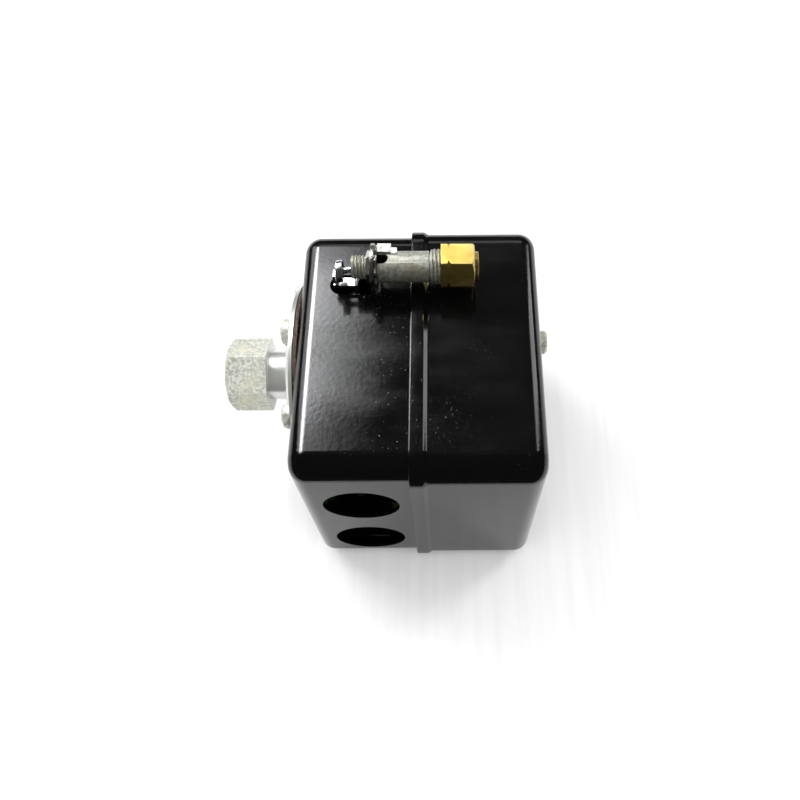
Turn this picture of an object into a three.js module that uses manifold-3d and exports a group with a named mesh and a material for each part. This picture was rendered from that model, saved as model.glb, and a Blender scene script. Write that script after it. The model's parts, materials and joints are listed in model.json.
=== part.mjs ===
// Pressure switch with an unloader valve: drawn-steel casing, diaphragm port, contact mechanism.
// Millimetres. The switch lies with its pressure port along -X, its cover along +X and the valve on top.
// Pieces are placed from the outer face of the base's end wall (x = 0) and the centre of the casing.
import * as THREE from "three";
import { mergeVertices } from "three/addons/utils/BufferGeometryUtils.js";
import Module from "manifold-3d";

const wasm = await Module();
wasm.setup();

// ---- Driving dimensions ----
const ORIGIN_X = 25;
const FLOOR_Z = 39.4;
const GAP = 0.05;

const SHEET = 1.2;
const BASE = { y: 39.9, z: 38, corner: 6.7, edge: 5, rim: 35.8 };
const COVER = { y: 40.95, z: 38.6, corner: 7.3, edge: 5, start: 32.7, end: 70.3 };
const LIP = { grow: 0.8, flatEnd: 36.2, slopeEnd: 38.2 };

const CONDUIT = { radius: 11.1, x: 18.05, zs: [12.2, -19.3] };
const LEVER_SLOT = { x0: 8.9, x1: 23.8, y: 19.5, width: 7 };

const PORT = { y: 7, z: 6 };
const FLANGE = { radius: 28.8, face: -2.9, back: -1.5 };
const NECK_RADIUS = 8.1;
const HEX = { flats: 20.3, x0: -26, x1: -13.1 };
const PORT_BORE = 5.6;
const BOLT_CIRCLE = 24.5;
const BOLT_START = 28;
const FLANGE_SCREW = { shank: 2, head: 4.1, headHeight: 2.9, end: 4.6 };

const PLATE = { x0: 6, x1: 7.6, y0: -24, y1: 34, z0: -4.5, z1: 16.5 };
const PIVOT = { x: 9, y: -3, radius: 1.5 };
const FRAME = { x0: 1.3, x1: 3.1, y0: -32, y1: 34, z: 32 };

const STUD = { y: 18.3, z: 6, radius: 2.5, end: 74.4 };
const RANGE_SPRING = { coil: 5.8, wire: 1, x0: 9.3, x1: 41.9, turns: 7 };
const DIFF = { y: 30.6, z: 6, radius: 1.6, end: 40 };
const DIFF_SPRING = { coil: 2.7, wire: 0.5, x0: 8.85, x1: 30.9, turns: 9 };

const VALVE = { y: 19.2, z: 47 };
const TUBE_NUT = { flats: 12, x0: 41.6, x1: 51.05, boss: 4.15, end: 52.2, tube: 3.25 };

const TERMINAL_ZS = [-21, -7, 7, 21];
const BLOCK = { x0: 25.6, x1: 36.05, y0: -27.9, y1: -3, z: 30 };
const CONTACT_Y = -21;

// ---- Finishes ----
const finish = (color, roughness, metalness) =>
  new THREE.MeshStandardMaterial({ color, roughness, metalness });
const BLACK_PAINT = finish(0x0b0b0c, 0.12, 0);
const ZINC_CAST = finish(0xa9aba8, 0.45, 0.9);
const ZINC_PLATE = finish(0xc4c6c4, 0.3, 1);
const BRASS = finish(0xc69a45, 0.25, 1);
const STEEL = finish(0xb4b6ba, 0.28, 1);
const DARK_STEEL = finish(0x2c2b2a, 0.4, 0.8);
const RUBBER = finish(0x2a211c, 0.85, 0);
const MOULDED = finish(0x1f1a17, 0.45, 0);
const GREEN = finish(0x1f6b38, 0.35, 0.5);

// ---- Geometry helpers ----
const AXIS_X = new THREE.Matrix4().makeBasis(
  new THREE.Vector3(0, 1, 0),
  new THREE.Vector3(0, 0, 1),
  new THREE.Vector3(1, 0, 0),
);
const AXIS_Y = new THREE.Matrix4().makeBasis(
  new THREE.Vector3(0, 0, 1),
  new THREE.Vector3(1, 0, 0),
  new THREE.Vector3(0, 1, 0),
);

function solid(geometry) {
  const bare = geometry.index ? geometry.toNonIndexed() : geometry.clone();
  bare.deleteAttribute("normal");
  bare.deleteAttribute("uv");
  const merged = mergeVertices(bare, 1e-4);
  const vertProperties = new Float32Array(merged.attributes.position.array);
  const triVerts = new Uint32Array(merged.index.array);
  const made = new wasm.Manifold(new wasm.Mesh({ numProp: 3, vertProperties, triVerts }));
  if (made.volume() > 0) return made;
  // A profile drawn the other way round gives faces that look inwards: turn them over.
  return new wasm.Manifold(new wasm.Mesh({ numProp: 3, vertProperties, triVerts: triVerts.reverse() }));
}

const joined = (solids) => solids.reduce((sum, next) => sum.add(next));
const cut = (body, tools) => tools.reduce((left, tool) => left.subtract(tool), body);

function block(x0, x1, y0, y1, z0, z1) {
  const box = new THREE.BoxGeometry(x1 - x0, y1 - y0, z1 - z0);
  return solid(box.translate((x0 + x1) / 2, (y0 + y1) / 2, (z0 + z1) / 2));
}

// A turned shape about an axis parallel to X; the profile is [x, radius] pairs.
function turned(profile, y, z, segments = 24) {
  const points = profile.map(([x, r]) => new THREE.Vector2(r, x));
  const lathe = new THREE.LatheGeometry(points, segments, Math.PI / segments);
  return solid(lathe.rotateZ(-Math.PI / 2).translate(0, y, z));
}

const rod = (radius, x0, x1, y, z, segments = 24) =>
  turned([[x0, 0], [x0, radius], [x1, radius], [x1, 0]], y, z, segments);

// A cutter for a round hole: its flats touch the circle from outside, so a shaft keeps its clearance.
const outside = (radius, segments) => radius / Math.cos(Math.PI / segments);
const bore = (radius, x0, x1, y, z, segments = 24) =>
  rod(outside(radius, segments), x0, x1, y, z, segments);

function ring(outer, inner, x0, x1, y, z, segments = 24) {
  const hole = outside(inner, segments);
  return turned([[x0, hole], [x0, outer], [x1, outer], [x1, hole], [x0, hole]], y, z, segments);
}

// A rod whose axis is parallel to Z.
function rodZ(radius, z0, z1, x, y, segments = 16) {
  const cylinder = new THREE.CylinderGeometry(radius, radius, z1 - z0, segments);
  return solid(cylinder.rotateX(Math.PI / 2).translate(x, y, (z0 + z1) / 2));
}

const boreZ = (radius, z0, z1, x, y, segments = 16) =>
  rodZ(outside(radius, segments), z0, z1, x, y, segments);

// A rod whose axis is parallel to Y.
function rodY(radius, y0, y1, x, z, segments = 32) {
  const cylinder = new THREE.CylinderGeometry(radius, radius, y1 - y0, segments);
  return solid(cylinder.translate(x, (y0 + y1) / 2, z));
}

// A hexagonal prism along X with both ends chamfered; spin turns its corners about the axis.
function hexagon(flats, x0, x1, y, z, spin = 0, chamfer = 0.9) {
  const corner = flats / Math.sqrt(3);
  const prism = new THREE.CylinderGeometry(corner, corner, x1 - x0, 6);
  prism.rotateY(spin).rotateZ(-Math.PI / 2).translate((x0 + x1) / 2, y, z);
  const inner = flats / 2 - 0.1;
  const outer = outside(corner + 0.05, 12);
  const cone = turned(
    [[x0, 0], [x0, inner], [x0 + chamfer, outer], [x1 - chamfer, outer], [x1, inner], [x1, 0]],
    y, z, 12,
  );
  return solid(prism).intersect(cone);
}

function extruded(shape, depth, basis, shift) {
  const geometry = new THREE.ExtrudeGeometry(shape, { depth, bevelEnabled: false, curveSegments: 3 });
  return solid(geometry.applyMatrix4(basis).translate(...shift));
}

// A shape drawn in Y, Z and pushed along X.
const pushedX = (shape, x0, x1) => extruded(shape, x1 - x0, AXIS_X, [x0, 0, 0]);
// A shape drawn in Z, X and pushed along Y.
const pushedY = (shape, y0, y1) => extruded(shape, y1 - y0, AXIS_Y, [0, y0, 0]);
// A shape drawn in X, Y and pushed along Z.
const pushedZ = (shape, z0, z1) => extruded(shape, z1 - z0, new THREE.Matrix4(), [0, 0, z0]);

const outline = (points) => new THREE.Shape(points.map(([a, b]) => new THREE.Vector2(a, b)));

function roundedRectangle(halfWidth, halfHeight, radius) {
  const shape = new THREE.Shape();
  const corners = [[1, -1, -0.5], [1, 1, 0], [-1, 1, 0.5], [-1, -1, 1]];
  for (const [sx, sy, start] of corners) {
    const cx = sx * (halfWidth - radius);
    const cy = sy * (halfHeight - radius);
    shape.absarc(cx, cy, radius, start * Math.PI, (start + 0.5) * Math.PI, false);
  }
  return shape;
}

// A slot along X, drawn in X, Y: round at its low end, nearly square at its high end.
function slotShape(x0, x1, y, width) {
  const r = width / 2;
  const ease = 0.6;
  const shape = new THREE.Shape();
  shape.moveTo(x1 - ease, y - r);
  shape.lineTo(x1, y - r + ease);
  shape.lineTo(x1, y + r - ease);
  shape.lineTo(x1 - ease, y + r);
  shape.absarc(x0 + r, y, r, Math.PI / 2, 1.5 * Math.PI, false);
  return shape;
}

// A drawn box: rounded rectangle along X with the edges of its ends rounded or chamfered.
function drawnBox(halfY, halfZ, corner, edge, x0, x1, thick = edge, segments = 3) {
  const shape = roundedRectangle(halfY - edge, halfZ - edge, corner - edge);
  const geometry = new THREE.ExtrudeGeometry(shape, {
    depth: x1 - x0 - 2 * thick,
    bevelThickness: thick,
    bevelSize: edge,
    bevelSegments: segments,
    curveSegments: 3,
  });
  return solid(geometry.applyMatrix4(AXIS_X).translate(x0 + thick, 0, 0));
}

class Helix extends THREE.Curve {
  constructor(radius, x0, x1, turns, y, z) {
    super();
    Object.assign(this, { radius, x0, x1, turns, y, z });
  }

  getPoint(t, target = new THREE.Vector3()) {
    const angle = 2 * Math.PI * this.turns * t;
    const x = this.x0 + (this.x1 - this.x0) * t;
    return target.set(x, this.y + this.radius * Math.cos(angle), this.z + this.radius * Math.sin(angle));
  }
}

function coilSpring({ coil, wire, x0, x1, turns }, y, z, steps = 11, sides = 6) {
  const path = new Helix(coil, x0 + wire, x1 - wire, turns, y, z);
  const section = new THREE.Shape();
  section.absarc(0, 0, wire, 0, 2 * Math.PI, false);
  const points = section.getSpacedPoints(sides).slice(0, sides);
  return solid(
    new THREE.ExtrudeGeometry(new THREE.Shape(points), {
      steps: Math.round(turns * steps),
      extrudePath: path,
    }),
  );
}

// ---- Assembly ----
const assembly = new THREE.Group();
assembly.position.set(-ORIGIN_X, 0, FLOOR_Z);
const part = new THREE.Group();
part.add(assembly);

function add(name, material, made) {
  const mesh = made.getMesh();
  const geometry = new THREE.BufferGeometry();
  geometry.setAttribute("position", new THREE.BufferAttribute(mesh.vertProperties, 3));
  geometry.setIndex(new THREE.BufferAttribute(mesh.triVerts, 1));
  geometry.computeVertexNormals();
  const piece = new THREE.Mesh(geometry, material);
  piece.name = name;
  assembly.add(piece);
}

const boltSpots = [0, 1, 2, 3, 4, 5].map((i) => {
  const angle = THREE.MathUtils.degToRad(BOLT_START + 60 * i);
  return [PORT.y + BOLT_CIRCLE * Math.cos(angle), PORT.z + BOLT_CIRCLE * Math.sin(angle)];
});
const boltHoles = (x0, x1, radius) => boltSpots.map(([y, z]) => bore(radius, x0, x1, y, z, 8));

// Port flange: rim, raised centre, neck and hexagon, with the port bore and the pressure chamber.
const flangeBody = turned(
  [
    [FLANGE.back, 0], [FLANGE.back, FLANGE.radius], [-2.5, FLANGE.radius], [FLANGE.face, 28.4],
    [FLANGE.face, 20.2], [-5.6, 17.6], [-6, 15.8], [-6.6, 10.4],
    [-7.4, NECK_RADIUS], [-14, NECK_RADIUS], [-14, 0],
  ].reverse(),
  PORT.y, PORT.z, 32,
);
const flangeHex = cut(
  hexagon(HEX.flats, HEX.x0, HEX.x1 + 2, PORT.y, PORT.z, 0, 1.3),
  [block(HEX.x1, HEX.x1 + 3, PORT.y - 15, PORT.y + 15, PORT.z - 15, PORT.z + 15)],
);
const portBore = bore(PORT_BORE, HEX.x0 - 1, -12.5, PORT.y, PORT.z, 20);
const portPassage = bore(2.6, -13, -2, PORT.y, PORT.z, 12);
const chamber = turned([[-4.4, 0], [-4.4, 10], [-3.2, 15.2], [-1, 15.2], [-1, 0]], PORT.y, PORT.z, 20);
add(
  "port_flange", ZINC_CAST,
  cut(flangeBody.add(flangeHex), [portBore, portPassage, chamber, ...boltHoles(-4, -1, 2.15)]),
);

// Diaphragm: flat at rest, clamped at its rim.
const diaphragm = rod(28.6, -1.45, -0.15, PORT.y, PORT.z, 32);
add("diaphragm", RUBBER, cut(diaphragm, boltHoles(-2, 1, 2.15)));

boltSpots.forEach(([y, z], i) => {
  const { shank, head, headHeight, end } = FLANGE_SCREW;
  const top = FLANGE.face - headHeight;
  const seat = FLANGE.face - GAP;
  const screw = turned(
    [
      [top, 0], [top, head - 1.6], [top + 0.7, head - 0.4], [top + 1.5, head], [seat, head],
      [seat, shank], [end, shank], [end, 0],
    ],
    y, z, 12,
  );
  const slot = block(top - 1, top + 0.9, y - 0.5, y + 0.5, z - 5, z + 5);
  add(`flange_screw_${i + 1}`, ZINC_PLATE, screw.subtract(slot));
});

// Pusher: broad disc on the diaphragm, and a round-nosed stem that bears on the operating plate.
add(
  "pusher", MOULDED,
  turned(
    [
      [-0.1, 0], [-0.1, 14.7], [0.05, 14.9], [0.35, 14.9], [0.35, 4.5],
      [3.87, 4.5], [4.8, 3.5], [5.5, 2.1], [5.82, 0.9], [5.9, 0],
    ],
    PORT.y, PORT.z, 20,
  ),
);

// Base housing: drawn box, open towards +X.
const baseOuter = drawnBox(BASE.y, BASE.z, BASE.corner, BASE.edge, 0, 60);
const baseInner = drawnBox(
  BASE.y - SHEET, BASE.z - SHEET, BASE.corner - SHEET, BASE.edge - SHEET, SHEET, 60,
);
const leverSlot = pushedZ(
  slotShape(LEVER_SLOT.x0, LEVER_SLOT.x1, LEVER_SLOT.y, LEVER_SLOT.width), 30, 45,
);
const rivetSpots = [23, 29];
add(
  "housing", BLACK_PAINT,
  cut(baseOuter, [
    block(BASE.rim, 70, -50, 50, -50, 50),
    baseInner,
    leverSlot,
    bore(16.5, -2, 3, PORT.y, PORT.z, 28),
    ...boltHoles(-2, 3, 2.15),
    ...CONDUIT.zs.map((z) => rodY(CONDUIT.radius, -45, -35, CONDUIT.x, z, 28)),
    ...rivetSpots.map((y) => boreZ(1.55, 30, 45, 27, y, 8)),
  ]),
);

// Cover: drawn box, open towards -X, with a joggled lip that slides over the base's rim.
const coverOuter = drawnBox(COVER.y, COVER.z, COVER.corner, COVER.edge, 10, COVER.end);
const coverInner = drawnBox(
  COVER.y - SHEET, COVER.z - SHEET, COVER.corner - SHEET, COVER.edge - SHEET,
  10, COVER.end - SHEET,
);
const lipSlope = LIP.slopeEnd - LIP.flatEnd;
const lipOuter = drawnBox(
  COVER.y + LIP.grow, COVER.z + LIP.grow, COVER.corner + LIP.grow, LIP.grow,
  10, LIP.slopeEnd, lipSlope, 1,
);
const lipInner = drawnBox(
  COVER.y + LIP.grow - 1.1, COVER.z + LIP.grow - 1.1, COVER.corner + LIP.grow - 1.1, LIP.grow,
  10, LIP.slopeEnd - 0.5, lipSlope, 1,
);
add(
  "cover", BLACK_PAINT,
  cut(coverOuter.add(lipOuter), [
    block(0, COVER.start, -50, 50, -50, 50),
    coverInner,
    lipInner,
    bore(2.9, 60, 80, STUD.y, STUD.z, 20),
  ]),
);

// Round-headed nut that holds the cover on the range stud.
add(
  "cover_nut", ZINC_PLATE,
  cut(
    turned(
      [
        [70.35, 0], [70.35, 4.6], [71.2, 4.6], [71.5, 3.9], [75.4, 3.9], [76, 3.3], [76, 0],
      ],
      STUD.y, STUD.z, 16,
    ),
    [bore(2.6, 69, 74.8, STUD.y, STUD.z, 16), block(75, 77, 10, 26, 5.5, 6.5)],
  ),
);

// Frame: plate inside the end wall, with two ears that carry the pivot pin.
const earShape = outline([
  [FRAME.x0, PIVOT.y - 5], [10, PIVOT.y - 5], [12.3, PIVOT.y - 2.5], [12.3, PIVOT.y + 2.5],
  [10, PIVOT.y + 5], [FRAME.x0, PIVOT.y + 5],
]);
const earSpans = [[PLATE.z0 - 1.8, PLATE.z0 - 0.3], [PLATE.z1 + 0.3, PLATE.z1 + 1.8]];
const blockScrewSpots = [[-9, 26], [-9, -26]];
const groundSpot = [-26.5, -10];
const frameBlank = extruded(
  roundedRectangle((FRAME.y1 - FRAME.y0) / 2, FRAME.z, 4), FRAME.x1 - FRAME.x0, AXIS_X,
  [FRAME.x0, (FRAME.y0 + FRAME.y1) / 2, 0],
);
add(
  "frame", ZINC_PLATE,
  cut(joined([frameBlank, ...earSpans.map(([a, b]) => pushedZ(earShape, a, b))]), [
    bore(4.8, 0, 4, PORT.y, PORT.z, 16),
    bore(2.55, 0, 4, STUD.y, STUD.z, 12),
    bore(1.65, 0, 4, DIFF.y, DIFF.z, 8),
    bore(2.05, 0, 4, groundSpot[0], groundSpot[1], 8),
    ...blockScrewSpots.map(([y, z]) => bore(1.75, 0, 4, y, z, 8)),
    ...boltHoles(0, 4, 2.05),
    boreZ(PIVOT.radius + 0.06, -10, 22, PIVOT.x, PIVOT.y, 16),
  ]),
);
add(
  "pivot_pin", STEEL,
  joined([
    rodZ(PIVOT.radius, PLATE.z0 - 2.6, PLATE.z1 + 1.9, PIVOT.x, PIVOT.y, 16),
    rodZ(2.4, PLATE.z1 + 1.86, PLATE.z1 + 2.8, PIVOT.x, PIVOT.y, 16),
  ]),
);

// Operating plate: tilts on the pin, with a lug at each side.
const lugShape = outline([
  [PLATE.x0, PIVOT.y - 4], [9, PIVOT.y - 4], [11.4, PIVOT.y - 2], [11.4, PIVOT.y + 2],
  [9, PIVOT.y + 4], [PLATE.x0, PIVOT.y + 4],
]);
const armRivetSpots = [[17, 15], [22, 15]];
add(
  "operating_plate", ZINC_PLATE,
  cut(
    joined([
      block(PLATE.x0, PLATE.x1, PLATE.y0, PLATE.y1, PLATE.z0, PLATE.z1),
      pushedZ(lugShape, PLATE.z0, PLATE.z0 + 1.5),
      pushedZ(lugShape, PLATE.z1 - 1.5, PLATE.z1),
    ]),
    [
      bore(3.7, 4, 9, STUD.y, STUD.z, 16),
      bore(2.7, 4, 9, DIFF.y, DIFF.z, 16),
      ...armRivetSpots.map(([y, z]) => bore(0.95, 4, 9, y, z, 10)),
      boreZ(PIVOT.radius + 0.08, -10, 22, PIVOT.x, PIVOT.y, 16),
    ],
  ),
);

// Unloader arm: riveted behind the plate, cranked up through the housing's slot to the valve stem.
const armThick = 1.2;
const armSide = outline([
  [10.8, 4.75], [26, 4.75], [33, 16.4], [40.1, 16.4], [40.1, 10.65], [45.4, 10.65], [45.4, 11.8],
  [41.3, 11.8], [41.3, 17.6], [32.4, 17.6], [25.4, 4.75 + armThick], [10.8, 4.75 + armThick],
]);
const armTrim = joined([block(9, 13, 12, 17.2, 41.8, 50), block(9, 19, 19.6, 28, 39.9, 50)]);
add(
  "unloader_arm", ZINC_PLATE,
  cut(pushedY(armSide, 16.9, 22.6), [
    armTrim,
    ...armRivetSpots.map(([y, z]) => bore(0.95, 4, 7, y, z, 10)),
  ]),
);
armRivetSpots.forEach(([y, z], i) => {
  add(
    `arm_rivet_${i + 1}`, STEEL,
    turned(
      [
        [4.1, 0], [4.1, 1], [4.7, 1.5], [4.7, 0.9], [7.65, 0.9], [7.65, 1.35], [8.1, 0.9], [8.1, 0],
      ],
      y, z, 10,
    ),
  );
});

// Range adjustment: stud, lower cup, spring, upper washer and nut.
add(
  "range_stud", STEEL,
  turned(
    [
      [1.35, 0], [1.35, STUD.radius], [3.15, STUD.radius], [3.15, 3.7], [4.7, 3.7],
      [4.7, STUD.radius], [STUD.end - 0.8, STUD.radius], [STUD.end, 1.8], [STUD.end, 0],
    ],
    STUD.y, STUD.z, 16,
  ),
);
add(
  "spring_cup", ZINC_PLATE,
  turned(
    [[7.65, 3.7], [7.65, 7.4], [9.9, 7.4], [9.9, 6.95], [9.25, 6.9], [9.25, 3.7], [7.65, 3.7]],
    STUD.y, STUD.z, 20,
  ),
);
add("range_spring", STEEL, coilSpring(RANGE_SPRING, STUD.y, STUD.z, 10, 5));
add("range_washer", ZINC_PLATE, ring(7.4, 2.58, 41.95, 43.4, STUD.y, STUD.z, 20));
add(
  "range_nut", ZINC_PLATE,
  hexagon(12.7, 43.45, 49.6, STUD.y, STUD.z).subtract(bore(2.58, 40, 52, STUD.y, STUD.z, 12)),
);

// Differential adjustment beside it.
add(
  "diff_stud", STEEL,
  turned(
    [
      [1.35, 0], [1.35, DIFF.radius], [3.15, DIFF.radius], [3.15, 2.5], [4.4, 2.5],
      [4.4, DIFF.radius], [DIFF.end, DIFF.radius], [DIFF.end, 0],
    ],
    DIFF.y, DIFF.z, 12,
  ),
);
add(
  "diff_cup", ZINC_PLATE,
  ring(3.4, 2.7, 7.65, 8.8, DIFF.y, DIFF.z, 12),
);
add("diff_spring", STEEL, coilSpring(DIFF_SPRING, DIFF.y, DIFF.z, 7, 4));
add("diff_washer", ZINC_PLATE, ring(3.4, DIFF.radius + 0.08, 30.95, 31.9, DIFF.y, DIFF.z, 12));
add(
  "diff_nut", ZINC_PLATE,
  hexagon(6.6, 31.95, 35.2, DIFF.y, DIFF.z, 0, 0.5).subtract(
    bore(DIFF.radius + 0.08, 30, 37, DIFF.y, DIFF.z, 12),
  ),
);

// Contact block: moulded slab on two legs, with barriers between the terminals.
const barrierZs = [-28, -14, 0, 14, 28];
add(
  "contact_block", MOULDED,
  cut(
    joined([
      block(BLOCK.x0, BLOCK.x1, BLOCK.y0, BLOCK.y1, -BLOCK.z, BLOCK.z),
      ...barrierZs.map((z) => block(30, 42, -30.3, -14.5, z - 0.9, z + 0.9)),
      ...blockScrewSpots.map(([y, z]) => block(3.15, 26, y - 4, y + 4, z - 4, z + 4)),
    ]),
    [
      ...blockScrewSpots.map(([y, z]) => bore(1.8, 2, 40, y, z, 12)),
      ...TERMINAL_ZS.map((z) => bore(1.55, 28, 40, -22.4, z, 10)),
      block(20, 40, -18.4, -14.6, -3.4, 3.4),
    ],
  ),
);
blockScrewSpots.forEach(([y, z], i) => {
  const screw = turned(
    [[1.4, 0], [1.4, 1.7], [36.1, 1.7], [36.1, 3.2], [37.6, 2.9], [38.1, 1.9], [38.1, 0]], y, z, 12,
  );
  add(`block_screw_${i + 1}`, STEEL, screw.subtract(block(37.3, 39, y - 4, y + 4, z - 0.4, z + 0.4)));
});

// Terminals: strips folded round the block's edge, each with a contact facing the moving bridge.
TERMINAL_ZS.forEach((z, i) => {
  const strip = pushedZ(
    outline([
      [24.5, -29.1], [37.1, -29.1], [37.1, -17], [36.1, -17], [36.1, -28.1], [25.5, -28.1],
      [25.5, -18.6], [24.5, -18.6],
    ]),
    z - 4.2, z + 4.2,
  );
  const contact = turned([[23.35, 0], [23.35, 1.6], [23.7, 2], [24.6, 2], [24.6, 0]], CONTACT_Y, z, 10);
  add(`terminal_${i + 1}`, BRASS, cut(strip.add(contact), [bore(1.6, 30, 40, -22.4, z, 10)]));
  add(
    `terminal_clamp_${i + 1}`, ZINC_PLATE,
    cut(block(37.15, 38.3, -26.6, -18.2, z - 4.1, z + 4.1), [bore(1.6, 30, 40, -22.4, z, 10)]),
  );
  const screw = turned(
    [[29, 0], [29, 1.5], [38.35, 1.5], [38.35, 3.3], [40.4, 3.3], [40.9, 2.6], [40.9, 0]], -22.4, z, 12,
  );
  add(`terminal_screw_${i + 1}`, BRASS, screw.subtract(block(40, 42, -26, -19, z - 0.45, z + 0.45)));
});

// Contact carrier: rests on the plate's tail and carries the two bridges.
const postZs = [-14, 14];
add(
  "contact_carrier", MOULDED,
  joined([
    block(12, 15, -24, -17, -24, 24),
    pushedZ(outline([[7.7, -20.6], [9, -21.8], [12.1, -21.8], [12.1, -19.8], [7.7, -20]]), 1, 11),
    block(14.9, 34, -18, -15, -3, 3),
    ...postZs.map((z) => rod(1.3, 14.9, 24.3, CONTACT_Y, z, 8)),
  ]),
);
postZs.forEach((z, i) => {
  const strip = block(20.9, 21.9, -23, -19, z - 9.6, z + 9.6);
  const buttons = [-7, 7].map((dz) =>
    turned([[21.8, 0], [21.8, 2], [22.9, 2], [23.25, 1.6], [23.25, 0]], CONTACT_Y, z + dz, 10),
  );
  add(
    `contact_bridge_${i + 1}`, BRASS,
    cut(joined([strip, ...buttons]), [bore(1.6, 20, 26, CONTACT_Y, z, 8)]),
  );
  const spring = { coil: 2.1, wire: 0.35, x0: 15.05, x1: 20.85, turns: 4 };
  add(`contact_spring_${i + 1}`, STEEL, coilSpring(spring, CONTACT_Y, z, 7, 4));
});

// Ground screw on the frame.
add(
  "ground_screw", GREEN,
  cut(
    joined([
      rod(2, 1.4, 4, groundSpot[0], groundSpot[1], 8),
      rod(4.6, 3.2, 4.2, groundSpot[0], groundSpot[1], 16),
      hexagon(6.4, 4.1, 6.8, groundSpot[0], groundSpot[1], 0, 0.5),
    ]),
    [block(6, 8, -32, -20, groundSpot[1] - 0.5, groundSpot[1] + 0.5)],
  ),
);

// Valve bracket: upright plate through the slot, with a foot riveted under the housing's top wall.
const bracketHead = new THREE.Shape();
bracketHead.absarc(VALVE.y, VALVE.z, 6.6, 0, Math.PI, false);
bracketHead.lineTo(VALVE.y - 6.6, 40);
bracketHead.lineTo(16.4, 38.4);
bracketHead.lineTo(16.4, 35.4);
bracketHead.lineTo(22.6, 35.4);
bracketHead.lineTo(22.6, 38.4);
bracketHead.lineTo(VALVE.y + 6.6, 40);
add(
  "valve_bracket", DARK_STEEL,
  cut(pushedX(bracketHead, 21.9, 23).add(block(21.9, 31, 16.4, 32, 35.4, 36.7)), [
    bore(3.55, 20, 25, VALVE.y, VALVE.z, 16),
    ...rivetSpots.map((y) => boreZ(1.55, 34, 38, 27, y, 8)),
  ]),
);
rivetSpots.forEach((y, i) => {
  add(
    `bracket_rivet_${i + 1}`, DARK_STEEL,
    joined([
      rodZ(1.5, 35, 38.4, 27, y, 8),
      rodZ(2.6, 38.05, 38.9, 27, y, 10),
      rodZ(2.2, 34.6, 35.4, 27, y, 10),
    ]),
  );
});

// Unloader valve body: threaded inlet end, vented barrel with two flat pads behind it, threaded outlet.
const barrel = turned(
  [
    [16.35, 0], [16.35, 2.9], [16.75, 3.45], [23.75, 3.45], [23.75, 4.4], [38.3, 4.4], [38.3, 4],
    [38.7, 4], [38.7, 4.6], [39.1, 5], [47.3, 5], [47.9, 4.3], [47.9, 0],
  ],
  VALVE.y, VALVE.z, 20,
);
const pads = [
  block(23.75, 27.6, VALVE.y + 1.7, VALVE.y + 4.6, VALVE.z - 1, VALVE.z + 4.8),
  block(27.5, 29.3, VALVE.y + 1.4, VALVE.y + 3.4, VALVE.z, VALVE.z + 4.5),
];
const ventY = VALVE.y - 0.05;
add(
  "valve_body", ZINC_CAST,
  cut(joined([barrel, ...pads]), [
    bore(1.7, 15, 26, VALVE.y, VALVE.z, 12),
    bore(2.9, 24.7, 39.7, VALVE.y, VALVE.z, 16),
    bore(1.6, 39, 44, VALVE.y, VALVE.z, 12),
    turned([[43, 0], [43, 3], [48.6, 4.1], [48.6, 0]], VALVE.y, VALVE.z, 16),
    block(23, 25.1, ventY - 1.7, ventY + 1.7, VALVE.z + 1.5, VALVE.z + 8),
    rodZ(1.7, VALVE.z + 1.5, VALVE.z + 8, 25.1, ventY, 12),
  ]),
);
add("jam_nut", ZINC_PLATE, hexagon(8.2, 20.55, 21.8, VALVE.y, VALVE.z, 0, 0.3).subtract(
  bore(3.5, 19, 23, VALVE.y, VALVE.z, 16),
));
const toothShape = new THREE.Shape();
const TEETH = 10;
for (let i = 0; i < 2 * TEETH; i += 1) {
  const angle = (i * Math.PI) / TEETH;
  const radius = i % 2 ? 5.1 : 6.1;
  const point = [VALVE.y + radius * Math.cos(angle), VALVE.z + radius * Math.sin(angle)];
  if (i === 0) toothShape.moveTo(...point);
  else toothShape.lineTo(...point);
}
toothShape.closePath();
add("star_washer", ZINC_PLATE, pushedX(toothShape, 23.05, 23.7).subtract(
  bore(3.5, 22, 25, VALVE.y, VALVE.z, 16),
));
add(
  "valve_stem", STEEL,
  turned(
    [
      [11.9, 0], [11.9, 3], [12.1, 3.2], [13.6, 3.2], [13.8, 3], [13.8, 0.9],
      [30.3, 0.9], [30.3, 2.5], [31.7, 2.5], [31.7, 0.9], [34.4, 0.9], [34.4, 0],
    ],
    VALVE.y, VALVE.z, 14,
  ),
);
add(
  "valve_spring", STEEL,
  coilSpring({ coil: 2.1, wire: 0.35, x0: 31.8, x1: 39.6, turns: 5 }, VALVE.y, VALVE.z, 7, 4),
);

// Compression nut and its ferrule.
add(
  "compression_nut", BRASS,
  cut(
    hexagon(TUBE_NUT.flats, TUBE_NUT.x0, TUBE_NUT.x1, VALVE.y, VALVE.z, Math.PI / 6).add(
      rod(TUBE_NUT.boss, 50.5, TUBE_NUT.end, VALVE.y, VALVE.z, 20),
    ),
    [
      turned([[41, 0], [41, 5.1], [48.1, 5.1], [50.6, 3.25], [50.6, 0]], VALVE.y, VALVE.z, 20),
      bore(TUBE_NUT.tube, 50, 54, VALVE.y, VALVE.z, 20),
      turned([[43.3, 8], [43.3, 6.9], [43.8, 6.3], [44.3, 6.9], [44.3, 8], [43.3, 8]], VALVE.y, VALVE.z, 20),
    ],
  ),
);
add(
  "ferrule", BRASS,
  turned(
    [[47.1, 3.2], [47.1, 3.45], [48, 3.8], [48.4, 4.3], [50.2, 3.4], [50.2, 3.2], [47.1, 3.2]],
    VALVE.y, VALVE.z, 16,
  ),
);

export default part;
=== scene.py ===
"""Pressure switch with an unloader valve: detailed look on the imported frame."""

import json
import math

import bmesh
import bpy
from mathutils import Matrix, Vector


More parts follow.
